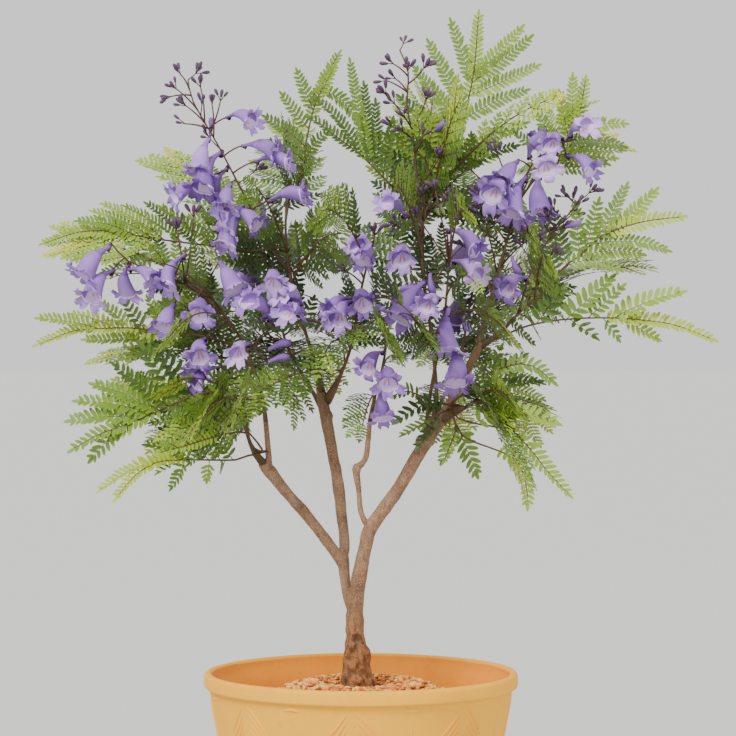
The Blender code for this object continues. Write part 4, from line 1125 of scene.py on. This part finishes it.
def add_tube(bm, route, segments):
    """A closed round tube through (x, y, z, radius)."""
    last = len(route) - 1
    before = None
    for index, (x, y, z, radius) in enumerate(route):
        heading = Vector(route[min(index + 1, last)][:3]) - Vector(route[max(index - 1, 0)][:3])
        turn = heading.to_track_quat("Z", "Y").to_matrix().to_4x4()
        made = bmesh.ops.create_circle(
            bm, cap_ends=index in (0, last), segments=segments, radius=radius,
            matrix=Matrix.Translation((x, y, z)) @ turn,
        )["verts"]
        loop = list({edge for vert in made for edge in vert.link_edges})
        if before:
            bmesh.ops.bridge_loops(bm, edges=before + loop)
        before = loop


def bark_relief(point):
    """How far the bark stands out at a point of its surface: plates and ridges, coarser at the foot."""
    foot = max(0.0, min(1.0, (ROUGH_FOOT_TOP - point.z) / ROUGH_FOOT_FADE))
    ridges = noise.noise(Vector((point.x * 260, point.y * 260, point.z * 95)))
    lumps = noise.noise(point * 75) + foot * 0.8 * noise.noise(point * 150)
    plates = (0.55 + 1.5 * foot) * ridges * 0.55 * MM
    swells = (0.5 + 1.5 * foot) * lumps * 0.9 * MM
    return plates + swells + noise.noise(point * 620) * 0.22 * MM


def make_bark(finish):
    """All limbs as one skin: tubes and swellings fused, smoothed, then given their relief and hollows."""
    bm = bmesh.new()
    for name in LIMBS:
        add_tube(bm, limb_route(name, LIMB_STEP), BARK_SIDES)
    for x, z, y, radius, height in SWELLINGS:
        extent = Matrix.Diagonal((radius * MM, radius * MM, height * MM, 1))
        where = Matrix.Translation(place(x, z, y)) @ extent
        bmesh.ops.create_icosphere(bm, subdivisions=3, radius=1, matrix=where)
    bmesh.ops.recalc_face_normals(bm, faces=bm.faces[:])
    skin = applied(
        mesh_from(bm, "limbs"),
        ("REMESH", {"mode": "VOXEL", "voxel_size": BARK_VOXEL}),
        ("SMOOTH", {"factor": 0.5, "iterations": 6}),
    )
    bm = bmesh.new()
    bm.from_mesh(skin)
    bm.normal_update()
    hollows = [(place(x, z, y), radius * MM, depth * MM) for x, z, y, radius, depth in HOLLOWS]
    moved = []
    for vert in bm.verts:
        rise = bark_relief(vert.co)
        for middle, radius, depth in hollows:
            near = max(0.0, 1 - (vert.co - middle).length / radius)
            rise -= depth * near**0.6
        moved.append(vert.co + vert.normal * rise)
    for vert, point in zip(bm.verts, moved):
        vert.co = point
    piece_of("trunk_and_boughs", bm, list(LIMBS), [finish])


# --- small patterns ---
def leaflet_pattern():
    """A leaflet one long and one wide: X is across, Y runs to its point, and its halves fold up a little."""
    bm = bmesh.new()
    root = bm.verts.new((0, 0, 0))
    tip = bm.verts.new((0, 1, -0.1))
    for hand in (-1, 1):
        edge = [bm.verts.new((hand * wide, share, 0.16 * wide)) for wide, share in LEAFLET_EDGE]
        bm.faces.new([root, *edge, tip] if hand > 0 else [tip, *reversed(edge), root])
    return Pattern(bm)


def turned_pattern(profile, sides, bend=0.0):
    """A small turned shape along Z through (radius, height), bowed along X."""
    bm = spun(profile, sides, 0.001)
    for vert in bm.verts:
        vert.co.x += bend * math.sin(math.pi * min(1, vert.co.z))
    return Pattern(bm)


# The parts of a blossom, each with its own finish, and its tube as (share of the length, radius).
FOOT, TUBE, LOBE, HEARTS, INSIDE, STRIPE, CUP = range(7)
BELL_PROFILE = [
    (0.0, 0.04), (0.08, 0.044), (0.17, 0.052), (0.25, 0.074), (0.35, 0.118), (0.47, 0.154),
    (0.6, 0.178), (0.72, 0.2),
]
MOUTH = 0.72
LINING = 0.5
LOBE_TURN = 2 * math.pi / 5
# Each pattern's seed and how far its lobes curl out.
BLOSSOMS = ((3, 1.0), (5, 0.7), (8, 1.1), (9, 0.85), (12, 0.5))
BUD_PROFILE = [(0, 0), (0.12, 0.05), (0.17, 0.3), (0.22, 0.62), (0.16, 0.88), (0, 1)]
CLOSED_PROFILE = [(0, 0), (0.09, 0.04), (0.09, 0.25), (0.14, 0.5), (0.18, 0.76), (0.11, 0.96), (0, 1)]


def bell_place(angle, share, inset=0.0):
    """A point of the blossom's tube: angle 0 is its upper side, which bows up and is a little flatter."""
    heights, radii = zip(*BELL_PROFILE)
    radius = float(np.interp(share, heights, radii)) - inset
    crease = 1 - 0.09 * math.cos(5 * angle) * max(0, share - 0.3)
    rise = 0.16 * math.sin(math.pi * min(1, share * 1.2)) - 0.06 * share
    aside = math.sin(angle) * radius * 1.08 * crease
    return Vector((aside, math.cos(angle) * radius * 0.88 * crease + rise, share))


def mapped_grid(bm, columns, rows, where, mark):
    """A grid whose points go where a function of (across, up), each from 0 to 1, says."""
    made = bmesh.ops.create_grid(bm, x_segments=columns, y_segments=rows, size=0.5)["verts"]
    for face in {face for vert in made for face in vert.link_faces}:
        face.material_index = mark(face.calc_center_median())
    for vert in made:
        vert.co = where(vert.co.x + 0.5, vert.co.y + 0.5)


def petal_place(across, up, turn, reach, curl, wave):
    """A point of one lobe: it leaves the tube's mouth, narrows, curls out, and is notched and crumpled."""
    side = across * 2 - 1
    half = LOBE_TURN / 2
    start = bell_place(turn + side * half * (1 - 0.25 * up), MOUTH)
    lean_turn = turn + side * half * (1 - 0.38 * up**1.4)
    out = Vector((math.sin(lean_turn), math.cos(lean_turn), 0))
    notch = 0.16 * math.exp(-((side * 3.5) ** 2)) * up**3
    run = up * reach * (1 - 0.42 * abs(side) ** 2.4 - notch)
    bending = 0.25 + curl * up
    frill = up**1.4 * (0.026 * math.sin(6.5 * side + wave) + 0.016 * math.sin(13 * side + 2 * wave))
    crumple = noise.noise(Vector((side * 2.2 + wave, up * 2.6, turn * 3))) * 0.06 * up
    crease = 0.03 * up * math.cos(side * math.pi)
    rise = run * math.cos(bending) + frill - crease
    return start + out * (run * math.sin(bending) + frill * 0.6 + crumple) + Vector((0, 0, rise))


def blossom_pattern(seed, flare):
    """A trumpet blossom of unit length along Z: a slim foot, a swelling tube and five crinkled lobes."""
    chance = random.Random(seed)
    bm = bmesh.new()

    def tube(across, up):
        return bell_place(across * 2 * math.pi, up * MOUTH)

    def tube_mark(middle):
        return FOOT if middle.y < -0.12 else TUBE

    def lining(across, up):
        share = LINING + up * (MOUTH - LINING)
        point = bell_place(across * 2 * math.pi, share, 0.008)
        centre = bell_place(0, share).lerp(bell_place(math.pi, share), 0.5)
        return centre.lerp(point, min(1, up * 1.6))

    def lining_mark(middle):
        if abs(middle.x) > 0.2:
            return TUBE
        striped = abs(middle.x) < 0.12 and int((middle.x + 0.5) * 20) % 2 and middle.y < 0.1
        return STRIPE if striped else INSIDE

    mapped_grid(bm, 20, 10, tube, tube_mark)
    mapped_grid(bm, 20, 5, lining, lining_mark)
    for lobe in range(5):
        turn = (lobe + 0.5) * LOBE_TURN
        upper = math.cos(turn) > 0.2
        reach = (0.185 if upper else 0.23) * chance.uniform(0.85, 1.15)
        curl = flare * chance.uniform(0.75, 1.2) * (1.2 if upper else 0.9)
        shape = (turn, reach, curl, chance.uniform(0, 6))
        heart = -0.5 if upper else -0.3
        mapped_grid(
            bm, 8, 6, lambda across, up, shape=shape: petal_place(across, up, *shape),
            lambda middle, heart=heart: HEARTS if middle.y < heart else LOBE,
        )
    bmesh.ops.remove_doubles(bm, verts=bm.verts[:], dist=0.004)

    def cup(across, up):
        turn = across * 2 * math.pi
        radius = 0.034 + 0.024 * up + 0.007 * up * math.cos(5 * turn)
        return Vector((math.sin(turn) * radius, math.cos(turn) * radius, -0.03 + 0.12 * up))

    mapped_grid(bm, 10, 2, cup, lambda middle: CUP)
    return Pattern(bm)


# --- how a mass grows ---
def rachis_of(stem, row):
    """The midrib of a frond: from its place on the stem it rises by its lift, and bends down to its tip."""
    share, x, z, y, pinna, _, lift = row[:7]
    root = along(stem, min(share, 0.985))
    tip = place(x, z, y)
    middle = root.lerp(tip, 0.5) + UP * 2 * lift * MM
    length = (tip - root).length
    steps = max(6, round(length / STEM_STEP))
    reach = 1 - 0.7 * pinna * MM / length
    return bow(root, middle, tip, [reach * index / steps for index in range(steps + 1)]), tip


def skeleton_of(mass):
    """Points along the stem, the flower stalks and the midribs: a mass owns the space nearest to these."""
    stem = points_of(mass["stem"])
    runs = [stem, *(points_of(axis) for axis in mass.get("axes", []))]
    for row in mass["fronds"]:
        rachis, tip = rachis_of(stem, row)
        runs.append([*rachis, tip])
    for row in mass.get("flowers", []):
        runs.append([place(*row[:3]), place(*row[3:])])
    points = []
    for run in runs:
        for start, end in zip(run, run[1:]):
            count = max(1, round((end - start).length / SKELETON_STEP))
            points += [start.lerp(end, index / count) for index in range(count)]
        points.append(run[-1])
    return points


def tree_of(points):
    tree = KDTree(len(points))
    for index, point in enumerate(points):
        tree.insert(point, index)
    tree.balance()
    return tree


class Space:
    """Says whether points lie in a mass's own space, clear of the other masses and of every limb."""

    def __init__(self):
        self.skeletons = {name: tree_of(skeleton_of(mass)) for name, mass in MASSES.items()}
        self.limbs = [point for name in LIMBS for point in limb_route(name, LIMB_STEP)]
        self.limb_tree = tree_of([Vector(point[:3]) for point in self.limbs])

    def holds(self, name, points):
        for point in points:
            own = self.skeletons[name].find(point)[2]
            for other, tree in self.skeletons.items():
                if other != name and tree.find(point)[2] < own - SPACE_SLACK:
                    return False
            for _, index, distance in self.limb_tree.find_n(point, 3):
                if distance < self.limbs[index][3] + LIMB_MARGIN:
                    return False
        return True


class Crown:
    """All that grows so far: rods and copies wait here until each kind is joined into its pieces."""

    def __init__(self):
        self.space = Space()
        self.twigs = Heap()
        self.midribs = Heap()
        self.flower_stalks = Heap()
        self.leaflets = {green: [] for green in GREENS}
        self.blossoms = []
        self.buds = []
        middles = []
        for mass in MASSES.values():
            for row in mass.get("flowers", []):
                calyx, mouth = place(*row[:3]), place(*row[3:])
                middles += [calyx.lerp(mouth, 0.35), calyx.lerp(mouth, 0.75)]
        self.blossom_tree = tree_of(middles)
        self.blossom_middles = np.array([middle[:] for middle in middles])
        limbs = np.array(self.space.limbs)
        self.limb_points, self.limb_radii = limbs[:, :3], limbs[:, 3] + LIMB_MARGIN

    def hides_blossom(self, point):
        """Whether a pinna here would cut through a blossom or stand close in front of one."""
        for middle, _, distance in self.blossom_tree.find_n(point, 4):
            aside = math.hypot(point.x - middle.x, point.z - middle.z)
            before = -PINNA_DEPTH < point.y - middle.y < 0 and middle.y < LAST_SEEN
            if distance < PINNA_ROOM or (aside < PINNA_ASIDE and before):
                return True
        return False

    def clear(self, points):
        """Which of these points are clear of every blossom and limb, and not just in front of a blossom."""
        gaps = points[:, None] - self.blossom_middles
        near = np.linalg.norm(gaps, axis=2) < BLOSSOM_ROOM
        aside = np.linalg.norm(gaps[:, :, ::2], axis=2) < BLOSSOM_ROOM
        seen = self.blossom_middles[:, 1] < LAST_SEEN
        before = (gaps[:, :, 1] < 0) & (gaps[:, :, 1] > -LEAF_DEPTH) & seen
        wood = np.linalg.norm(points[:, None] - self.limb_points, axis=2) < self.limb_radii
        return ~((near | (aside & before)).any(1) | wood.any(1))

    def add_bud(self, foot, way, size, kind):
        """A bud of kind 0, or a closed bell of kind 1, that points along its way."""
        side = way.orthogonal().normalized()
        self.buds.append((foot, (side * size, way.cross(side) * size, way * size), kind))


def green_of(point, share, tone, chance):
    """Which green a comb has: deep inside the crown, yellower at its edge and towards a frond's end. These
    are partly the leaves' own age and partly painted shade inside the crown and painted light at its edge.
    """
    wide, deep, tall = CROWN_HALF
    out = math.sqrt((point.x / wide) ** 2 + ((point.z - CROWN_HEIGHT) / tall) ** 2 + (point.y / deep) ** 2)
    value = GREEN_BY_PLACE * out + GREEN_BY_SHARE * share - GREEN_SHIFT + tone
    value += chance.gauss(0, GREEN_SCATTER)
    names = list(GREENS)
    return names[max(0, min(len(names) - 1, int(value * len(names))))]


def comb(crown, path, face, leaf, fold, green, chance, first=FIRST_LEAFLET):
    """Leaflets in pairs along a path, and a larger one at its end. A fold lifts both rows."""
    run = np.array([point[:] for point in path])
    reached = np.concatenate([[0], np.cumsum(np.linalg.norm(np.diff(run, axis=0), axis=1))])
    count = max(4, round(reached[-1] * (LAST_LEAFLET - first) / (LEAFLET_GAP * leaf)))
    shares = np.linspace(first, LAST_LEAFLET, count)

    def at(places):
        return np.stack([np.interp(places * reached[-1], reached, run[:, axis]) for axis in range(3)], 1)

    tangent = unit(at(np.minimum(shares + 0.04, 1)) - at(np.maximum(shares - 0.04, 0)))
    course = Vector(run[-1] - run[0]).normalized()
    normal = np.array(Matrix.Rotation(chance.gauss(0, COMB_TWIST), 3, course) @ face)
    side = unit(np.cross(tangent, normal))
    normal = np.cross(side, tangent)
    angle = part_way(LEAFLET_ANGLE, shares)
    taper = (0.78 + 0.22 * np.minimum(1, shares / 0.25)) * (1 - 0.42 * shares**2.2)
    full = LEAFLET_LENGTH * leaf * min(1, 0.66 + reached[-1] / (140 * MM))
    ways, origins, lengths = [], [], []
    for hand in (-1, 1):
        turn = angle + np.array([chance.gauss(0, LEAFLET_SCATTER) for _ in shares])
        lift = fold + np.array([chance.uniform(-0.1, 0.12) for _ in shares])
        flat = tangent * np.cos(turn)[:, None] + side * hand * np.sin(turn)[:, None]
        ways.append(flat + normal * lift[:, None])
        step = (0.5 if hand > 0 else 0) * LEAFLET_GAP * leaf * 0.4 / reached[-1]
        origins.append(at(np.minimum(shares + step, 1)))
        lengths.append(full * taper * np.array([chance.uniform(0.9, 1.08) for _ in shares]))
    ways = unit(np.concatenate([*ways, tangent[-1:]]))
    origins = np.concatenate([*origins, run[-1:]])
    lengths = np.concatenate([*lengths, lengths[0][-1:] * 1.3])
    kept = crown.clear(origins + ways * lengths[:, None] * 0.6)
    normals = np.concatenate([normal, normal, normal[-1:]])[kept]
    origins, ways, lengths = origins[kept], ways[kept], lengths[kept]
    across = unit(np.cross(ways, normals))
    faces = np.cross(across, ways)
    widths = lengths ** 0.5 * (LEAFLET_LENGTH * leaf) ** 0.5 * LEAFLET_WIDTH
    axes = np.stack([across * widths[:, None], ways * lengths[:, None], faces * widths[:, None]], 1)
    crown.leaflets[green].append((origins, axes))


def pinna_size(share):
    """How long a pinna is along the midrib, as a share of the longest, which stands near the middle."""
    return 0.72 + 0.28 * math.sin(math.pi * (0.12 + 0.78 * share))


def frond(crown, name, stem, row, chance, least=0):
    """A frond's midrib with its paired pinnae and a last one, if it has room for this least number."""
    full, lean = row[4] * MM, math.radians(row[5])
    rachis, tip = rachis_of(stem, row)
    turn = Matrix.Rotation(math.radians(row[7] if len(row) > 7 else 0), 3, "Z")
    face = (UP * math.cos(lean) + turn @ FRONT * math.sin(lean)).normalized()
    gap = max(PINNA_GAP, PINNA_GAP_SHARE * full)
    pairs = max(4, round(length_of(rachis) * (PINNA_SPAN[1] - PINNA_SPAN[0]) / gap) + 1)
    leaf = chance.uniform(0.82, 1.1)
    grown = []
    for pair in range(pairs):
        share = pair / (pairs - 1)
        place_on = part_way(PINNA_SPAN, share)
        root = along(rachis, place_on)
        heading = (along(rachis, min(1, place_on + 0.05)) - along(rachis, place_on - 0.05)).normalized()
        side = heading.cross(face).normalized()
        normal = side.cross(heading)
        angle = part_way(PINNA_ANGLE, share) + chance.gauss(0, 0.05)
        reach = full * pinna_size(share) * chance.uniform(0.92, 1.04)
        for hand in (-1, 1):
            course = heading * math.cos(angle) + side * hand * math.sin(angle) + normal * 0.08
            course = course.normalized() * reach
            bend = (heading * 0.16 - UP * 0.12 + normal * chance.uniform(-0.06, 0.06)) * reach
            marks = [root + course * t for t in (0.45, 0.95)]
            if not crown.space.holds(name, marks) or any(crown.hides_blossom(mark) for mark in marks):
                continue
            path = [root + course * t + bend * t**2 for t in (0, 0.2, 0.4, 0.6, 0.8, 1)]
            grown.append((path, normal, green_of(marks[0], share, 0, chance)))
    if len(grown) < least:
        return
    last = tip - rachis[-1]
    normal = last.cross(face).cross(last).normalized()
    if not crown.hides_blossom(tip):
        grown.append(([rachis[-1], rachis[-1].lerp(tip, 0.5), tip], normal, green_of(tip, 1.0, 0, chance)))
    for path, normal, green in grown:
        crown.midribs.add_rod(path, PINNA_STALK_RADIUS, 3)
        comb(crown, path, normal, leaf, PINNA_FOLD, green, chance)
    crown.midribs.add_rod(rachis, RACHIS_RADIUS, 5)


def fan(crown, stem, row, chance):
    """A frond on the near side, whose midrib and combs run where the table says."""
    lean, leaf, fold, tone, route, combs = math.radians(row[1]), *row[2:]
    face = (UP * math.cos(lean) + FRONT * math.sin(lean)).normalized()
    rachis = points_of(route)
    root = nearest_on([stem[1:]], rachis[0])
    if (root - rachis[0]).length > 1 * MM:
        before = rachis[0] * 2 - rachis[1]
        crown.midribs.add_rod(bow(root, before, rachis[0], (0, 0.3, 0.6, 1)), FAN_LEAD_RADIUS, 5)
    crown.midribs.add_rod(rachis, RACHIS_RADIUS, 5)
    leaves = [along(rachis, MIDRIB_LEAVES + (1 - MIDRIB_LEAVES) * index / 8) for index in range(9)]
    comb(crown, leaves, face, leaf, fold, green_of(rachis[-1], 0.4, tone, chance), chance, first=0.02)
    for share, x, z, rise, *size in combs:
        foot = along(rachis, share)
        tip = place(x, z, foot.y / MM + chance.uniform(-16, 12))
        middle = foot.lerp(tip, 0.5) + UP * 2 * rise * MM
        path = bow(foot, middle, tip, (0, 0.17, 0.34, 0.5, 0.67, 0.84, 1))
        crown.midribs.add_rod(path, PINNA_STALK_RADIUS, 3)
        green = green_of(tip, 0.5 * share, tone, chance)
        own_leaf = leaf * (size[0] if size else 1)
        comb(crown, path, face, own_leaf, fold, green, chance, COMB_STALK / length_of(path))


def infill_rows(mass, chance):
    """More fronds between those of the table, drawn in towards the stem so that they keep to its reach."""
    rows = []
    fronds = mass["fronds"]
    for index in range(mass.get("infill", INFILL)):
        first = fronds[index % len(fronds)]
        second = fronds[(index + 1 + index // len(fronds)) % len(fronds)]
        mix, pull = chance.uniform(0.3, 0.7), chance.uniform(0.5, 0.74)
        share, *end = (a * (1 - mix) + b * mix for a, b in zip(first[:4], second[:4]))
        start = mass["stem"][round(share * (len(mass["stem"]) - 1))]
        tip = [near + (far - near) * pull for near, far in zip(start, end)]
        tip[1] += chance.uniform(-18, 26)
        pinna = (first[4] + second[4]) / 2 * 0.72
        lean = (first[5] + second[5]) / 2 + chance.uniform(-25, 25)
        rows.append((share, *tip, pinna, lean, chance.uniform(8, 24), chance.uniform(-85, 85)))
    return rows


def blossom(crown, runs, row, chance):
    """An open trumpet on its own short stalk, with its upper side turned up and a little to the front."""
    calyx, mouth = place(*row[:3]), place(*row[3:])
    heading = (mouth - calyx).normalized()
    length = max((mouth - calyx).length * LOBES_BEYOND_MOUTH, SHORTEST_BELL)
    root = nearest_on(runs, calyx)
    if (calyx - root).length < SHORTEST_PEDICEL:
        calyx = root + (calyx - root + heading * MM).normalized() * SHORTEST_PEDICEL
    middle = root.lerp(calyx, 0.6) + UP * 3 * MM
    stalk = bow(root, middle, calyx, (0, 0.25, 0.5, 0.75, 1))
    crown.flower_stalks.add_rod(stalk, (PEDICEL_RADIUS * 1.3, PEDICEL_RADIUS), 5)
    back = (UP - heading * heading.dot(UP) + FRONT * 0.15).normalized()
    back = (back - heading * heading.dot(back)).normalized()
    back = Matrix.Rotation(chance.gauss(0, 0.35), 3, heading) @ back
    axes = (back.cross(heading) * length, back * length, heading * length)
    crown.blossoms.append((calyx, axes, chance.choice((0, 1, 1, 2))))


def add_buds(crown, foot, course, count, share, chance):
    """Buds fanned out from the end of a stalk; low on a panicle one of them may be a closed bell."""
    spread = course.orthogonal().normalized()
    start = chance.uniform(0, 6)
    for index in range(count):
        aside = Matrix.Rotation(BUD_TURN * index + start, 3, course) @ spread
        way = (course + aside * (0.1 if index == 0 else 0.85) + UP * 0.2).normalized()
        end = foot + way * (3 if index == 0 else chance.uniform(4, 7)) * MM
        crown.flower_stalks.add_rod([foot, end], BUD_STALK_RADIUS, 3)
        closed = index == 1 and share < 0.7 and chance.random() < 0.4
        size = (CLOSED_BELL_LENGTH if closed else BUD_LENGTH) * chance.uniform(0.8, 1.12)
        crown.add_bud(end, way, size, int(closed))


def bud_cluster(crown, name, axis, share, turn, chance):
    """A side stalk of a panicle that ends in buds; the higher it stands, the shorter it is."""
    root = along(axis, share)
    course = Vector((math.cos(turn), math.sin(turn) * 0.7, 0.75)).normalized()
    foot = root + course * (30 - 20 * share) * MM
    if not crown.space.holds(name, [foot]):
        return
    middle = root.lerp(foot, 0.6) - UP * MM
    crown.flower_stalks.add_rod(bow(root, middle, foot, (0, 0.5, 1)), CLUSTER_RADIUS, 4)
    add_buds(crown, foot, course, chance.choice((3, 4)), share, chance)


def sprig(crown, runs, row, chance):
    """A forked twig of buds, from the nearest stalk to its own tip."""
    foot, tip = place(*row[:3]), place(*row[3:6])
    root = nearest_on(runs, foot)
    middle = root.lerp(tip, 0.5) + (tip - root).cross(FRONT).normalized() * 2 * MM
    stalk = bow(root, middle, tip, (0, 0.25, 0.5, 0.75, 1))
    crown.flower_stalks.add_rod(stalk, SPRIG_RADIUS, 5)
    add_buds(crown, tip, (tip - middle).normalized(), row[6], 1, chance)


def closed_bell(crown, runs, row):
    """A violet bell that hasn't opened, on its own short stalk."""
    calyx, mouth = place(*row[:3]), place(*row[3:])
    root = nearest_on(runs, calyx)
    stalk = bow(root, root.lerp(calyx, 0.6), calyx, (0, 0.5, 1))
    crown.flower_stalks.add_rod(stalk, CLUSTER_RADIUS, 4)
    crown.add_bud(calyx, (mouth - calyx).normalized(), (mouth - calyx).length, 1)


def grow_stem(crown, mass, stem):
    """The twig that carries a mass, with a collar where it leaves its limb."""
    reach = 0.0
    radii = []
    for index, point in enumerate(stem):
        reach += (point - stem[index - 1]).length if index else 0
        collar = max(0, mass["tip"] * MM * 0.98 - STEM_RADIUS[0]) * math.exp(-((reach / COLLAR_LENGTH) ** 2))
        radii.append(part_way(STEM_RADIUS, index / (len(stem) - 1)) + collar)
    crown.twigs.add_rod(stem, radii, 9)


def grow_mass(crown, name):
    """One mass: its stem and stalks, then what stands on these, then its fronds from near to far."""
    mass = MASSES[name]
    chance = random.Random(SEED + list(MASSES).index(name))
    stem = points_of(mass["stem"])
    axes = [points_of(axis) for axis in mass.get("axes", [])]
    runs = [stem[2:], *axes]
    grow_stem(crown, mass, stem)
    for axis in axes:
        crown.flower_stalks.add_rod(axis, AXIS_RADIUS, 6)
    for row in mass.get("flowers", []):
        blossom(crown, runs, row, chance)
    clusters = mass.get("clusters", 0)
    for axis in axes:
        for index in range(clusters):
            share = 0.3 + 0.7 * (index + 1) / clusters
            turn = BUD_TURN * index + chance.uniform(-0.4, 0.4)
            bud_cluster(crown, name, axis, share, turn, chance)
    for row in mass.get("bells", []):
        closed_bell(crown, runs, row)
    for row in SPRIGS.get(name, []):
        sprig(crown, runs, row, chance)
    fans = FANS.get(name, [])
    for row in fans:
        fan(crown, stem, row, chance)
    done = [row[0] for row in fans] + list(mass.get("left_out", ()))
    for index, row in enumerate(mass["fronds"]):
        if index not in done:
            frond(crown, name, stem, row, chance)
    for row in mass.get("inner", []) + infill_rows(mass, chance):
        frond(crown, name, stem, row, chance, LEAST_PINNAE)


# --- joining each kind ---
def crown_piece(name, heap, finishes):
    """A piece that runs through the whole crown, and stands for every mass."""
    piece_of(name, heap, list(MASSES), finishes)


def make_rods(crown):
    """The stems, the midribs with their pinnae's stalks, and the flower stalks, each as one piece."""
    bark_of_twigs = twig_skin("twig_bark", tint(100, 72, 46), tint(66, 54, 28))
    crown_piece("twigs", crown.twigs, [bark_of_twigs])
    crown_piece("midribs", crown.midribs, [plain("midrib", tint(86, 62, 30), 0.6)])
    crown_piece("flower_stalks", crown.flower_stalks, [plain("flower_stalk", tint(78, 46, 44), 0.6)])


def make_leaves(crown):
    pattern = leaflet_pattern()
    for green, batches in crown.leaflets.items():
        heap = Heap()
        heap.add_copies(pattern, *(np.concatenate(parts) for parts in zip(*batches)))
        crown_piece("leaves_" + green, heap, [plain("leaf_" + green, GREENS[green], 0.5)])


def make_blossoms(crown):
    """Every blossom from one of the patterns. Its shade picks the petals' finishes, darkest at the foot."""
    patterns = [blossom_pattern(seed, flare) for seed, flare in BLOSSOMS]
    finishes = [plain(name, colour, 0.6) for name, colour in PETALS.items()]
    heap = Heap()
    for index, (origin, axes, shade) in enumerate(crown.blossoms):
        pattern = patterns[index % len(patterns)]
        parts = np.array([max(0, shade - 1), shade, shade + (index % 2), 4, 5, 6, 7])
        heap.add_copy(pattern, origin, axes, parts[pattern.marks])
    crown_piece("blossoms", heap, finishes)


def make_buds(crown):
    patterns = (turned_pattern(BUD_PROFILE, 7), turned_pattern(CLOSED_PROFILE, 8, 0.1))
    heap = Heap()
    for origin, axes, kind in crown.buds:
        heap.add_copy(patterns[kind], origin, axes, np.full(len(patterns[kind].triangles), kind))
    crown_piece("buds", heap, [plain("bud", BUD, 0.55), plain("closed_petals", PETALS["petal_shade"], 0.6)])


# --- studio ---
def add_lamp(name, kind, strength, colour, position, softness, size):
    """A lamp that shines from its position towards the crown."""
    light = bpy.data.lights.new(name, kind)
    light.energy = strength
    light.color = colour
    setattr(light, softness, size)
    lamp = put(name, light)
    lamp.location = position
    lamp.rotation_euler = (LAMP_TARGET - Vector(position)).to_track_quat("-Z", "Y").to_euler()


def make_studio():
    """A plain pale floor and sky, with a soft sun and a fill lamp."""
    bm = bmesh.new()
    bmesh.ops.create_grid(bm, x_segments=1, y_segments=1, size=FLOOR_HALF)
    floor = put("floor", mesh_from(bm, "floor"))
    floor.data.materials.append(plain("pale_floor", tint(204, 205, 206), 0.9))
    world = bpy.data.worlds.new("pale_room")
    bpy.context.scene.world = world
    world.use_nodes = True
    sky = world.node_tree.nodes["Background"]
    sky.inputs["Color"].default_value = tint(240, 241, 240)
    sky.inputs["Strength"].default_value = SKY_STRENGTH
    for lamp in LAMPS:
        add_lamp(*lamp)


def make_camera():
    """A long lens, level with the crown's lower edge, that looks down a little."""
    lens = bpy.data.cameras.new("camera")
    lens.sensor_width = SENSOR_WIDTH
    lens.lens = FOCAL_PIXELS / FRAME_PIXELS * SENSOR_WIDTH
    lens.clip_end = 100
    camera = put("camera", lens)
    camera.location = EYE
    camera.rotation_euler = (math.radians(90 - CAMERA_DIP), 0, 0)
    bpy.context.scene.camera = camera


def make_vessel():
    """The pot with its ornament, the soil and the gravel."""
    clay = fired_clay("clay", *CLAY)
    # The lining's clay is painted darker and more orange, as painted shade and bounce light inside the pot.
    make_pot([clay, fired_clay("clay_lining_painted_shade", *CLAY_LINING_PAINTED_SHADE)])
    make_ornament(clay)
    make_soil(damp_soil("soil"))
    make_gravel([chip_stone("stone_" + name, colour) for name, colour in STONES.items()])


def make_crown():
    """Every mass of foliage grows first, then each kind is joined into its pieces."""
    crown = Crown()
    for name in MASSES:
        grow_mass(crown, name)
    make_rods(crown)
    make_leaves(crown)
    make_blossoms(crown)
    make_buds(crown)


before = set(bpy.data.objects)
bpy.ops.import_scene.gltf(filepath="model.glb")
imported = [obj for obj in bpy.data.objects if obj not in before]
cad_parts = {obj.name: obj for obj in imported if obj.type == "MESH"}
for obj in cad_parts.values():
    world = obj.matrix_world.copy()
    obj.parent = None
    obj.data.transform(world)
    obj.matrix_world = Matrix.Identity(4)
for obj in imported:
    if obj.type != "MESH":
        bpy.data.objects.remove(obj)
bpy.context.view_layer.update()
make_camera()
make_studio()
make_vessel()
make_bark(bark("bark"))
make_crown()
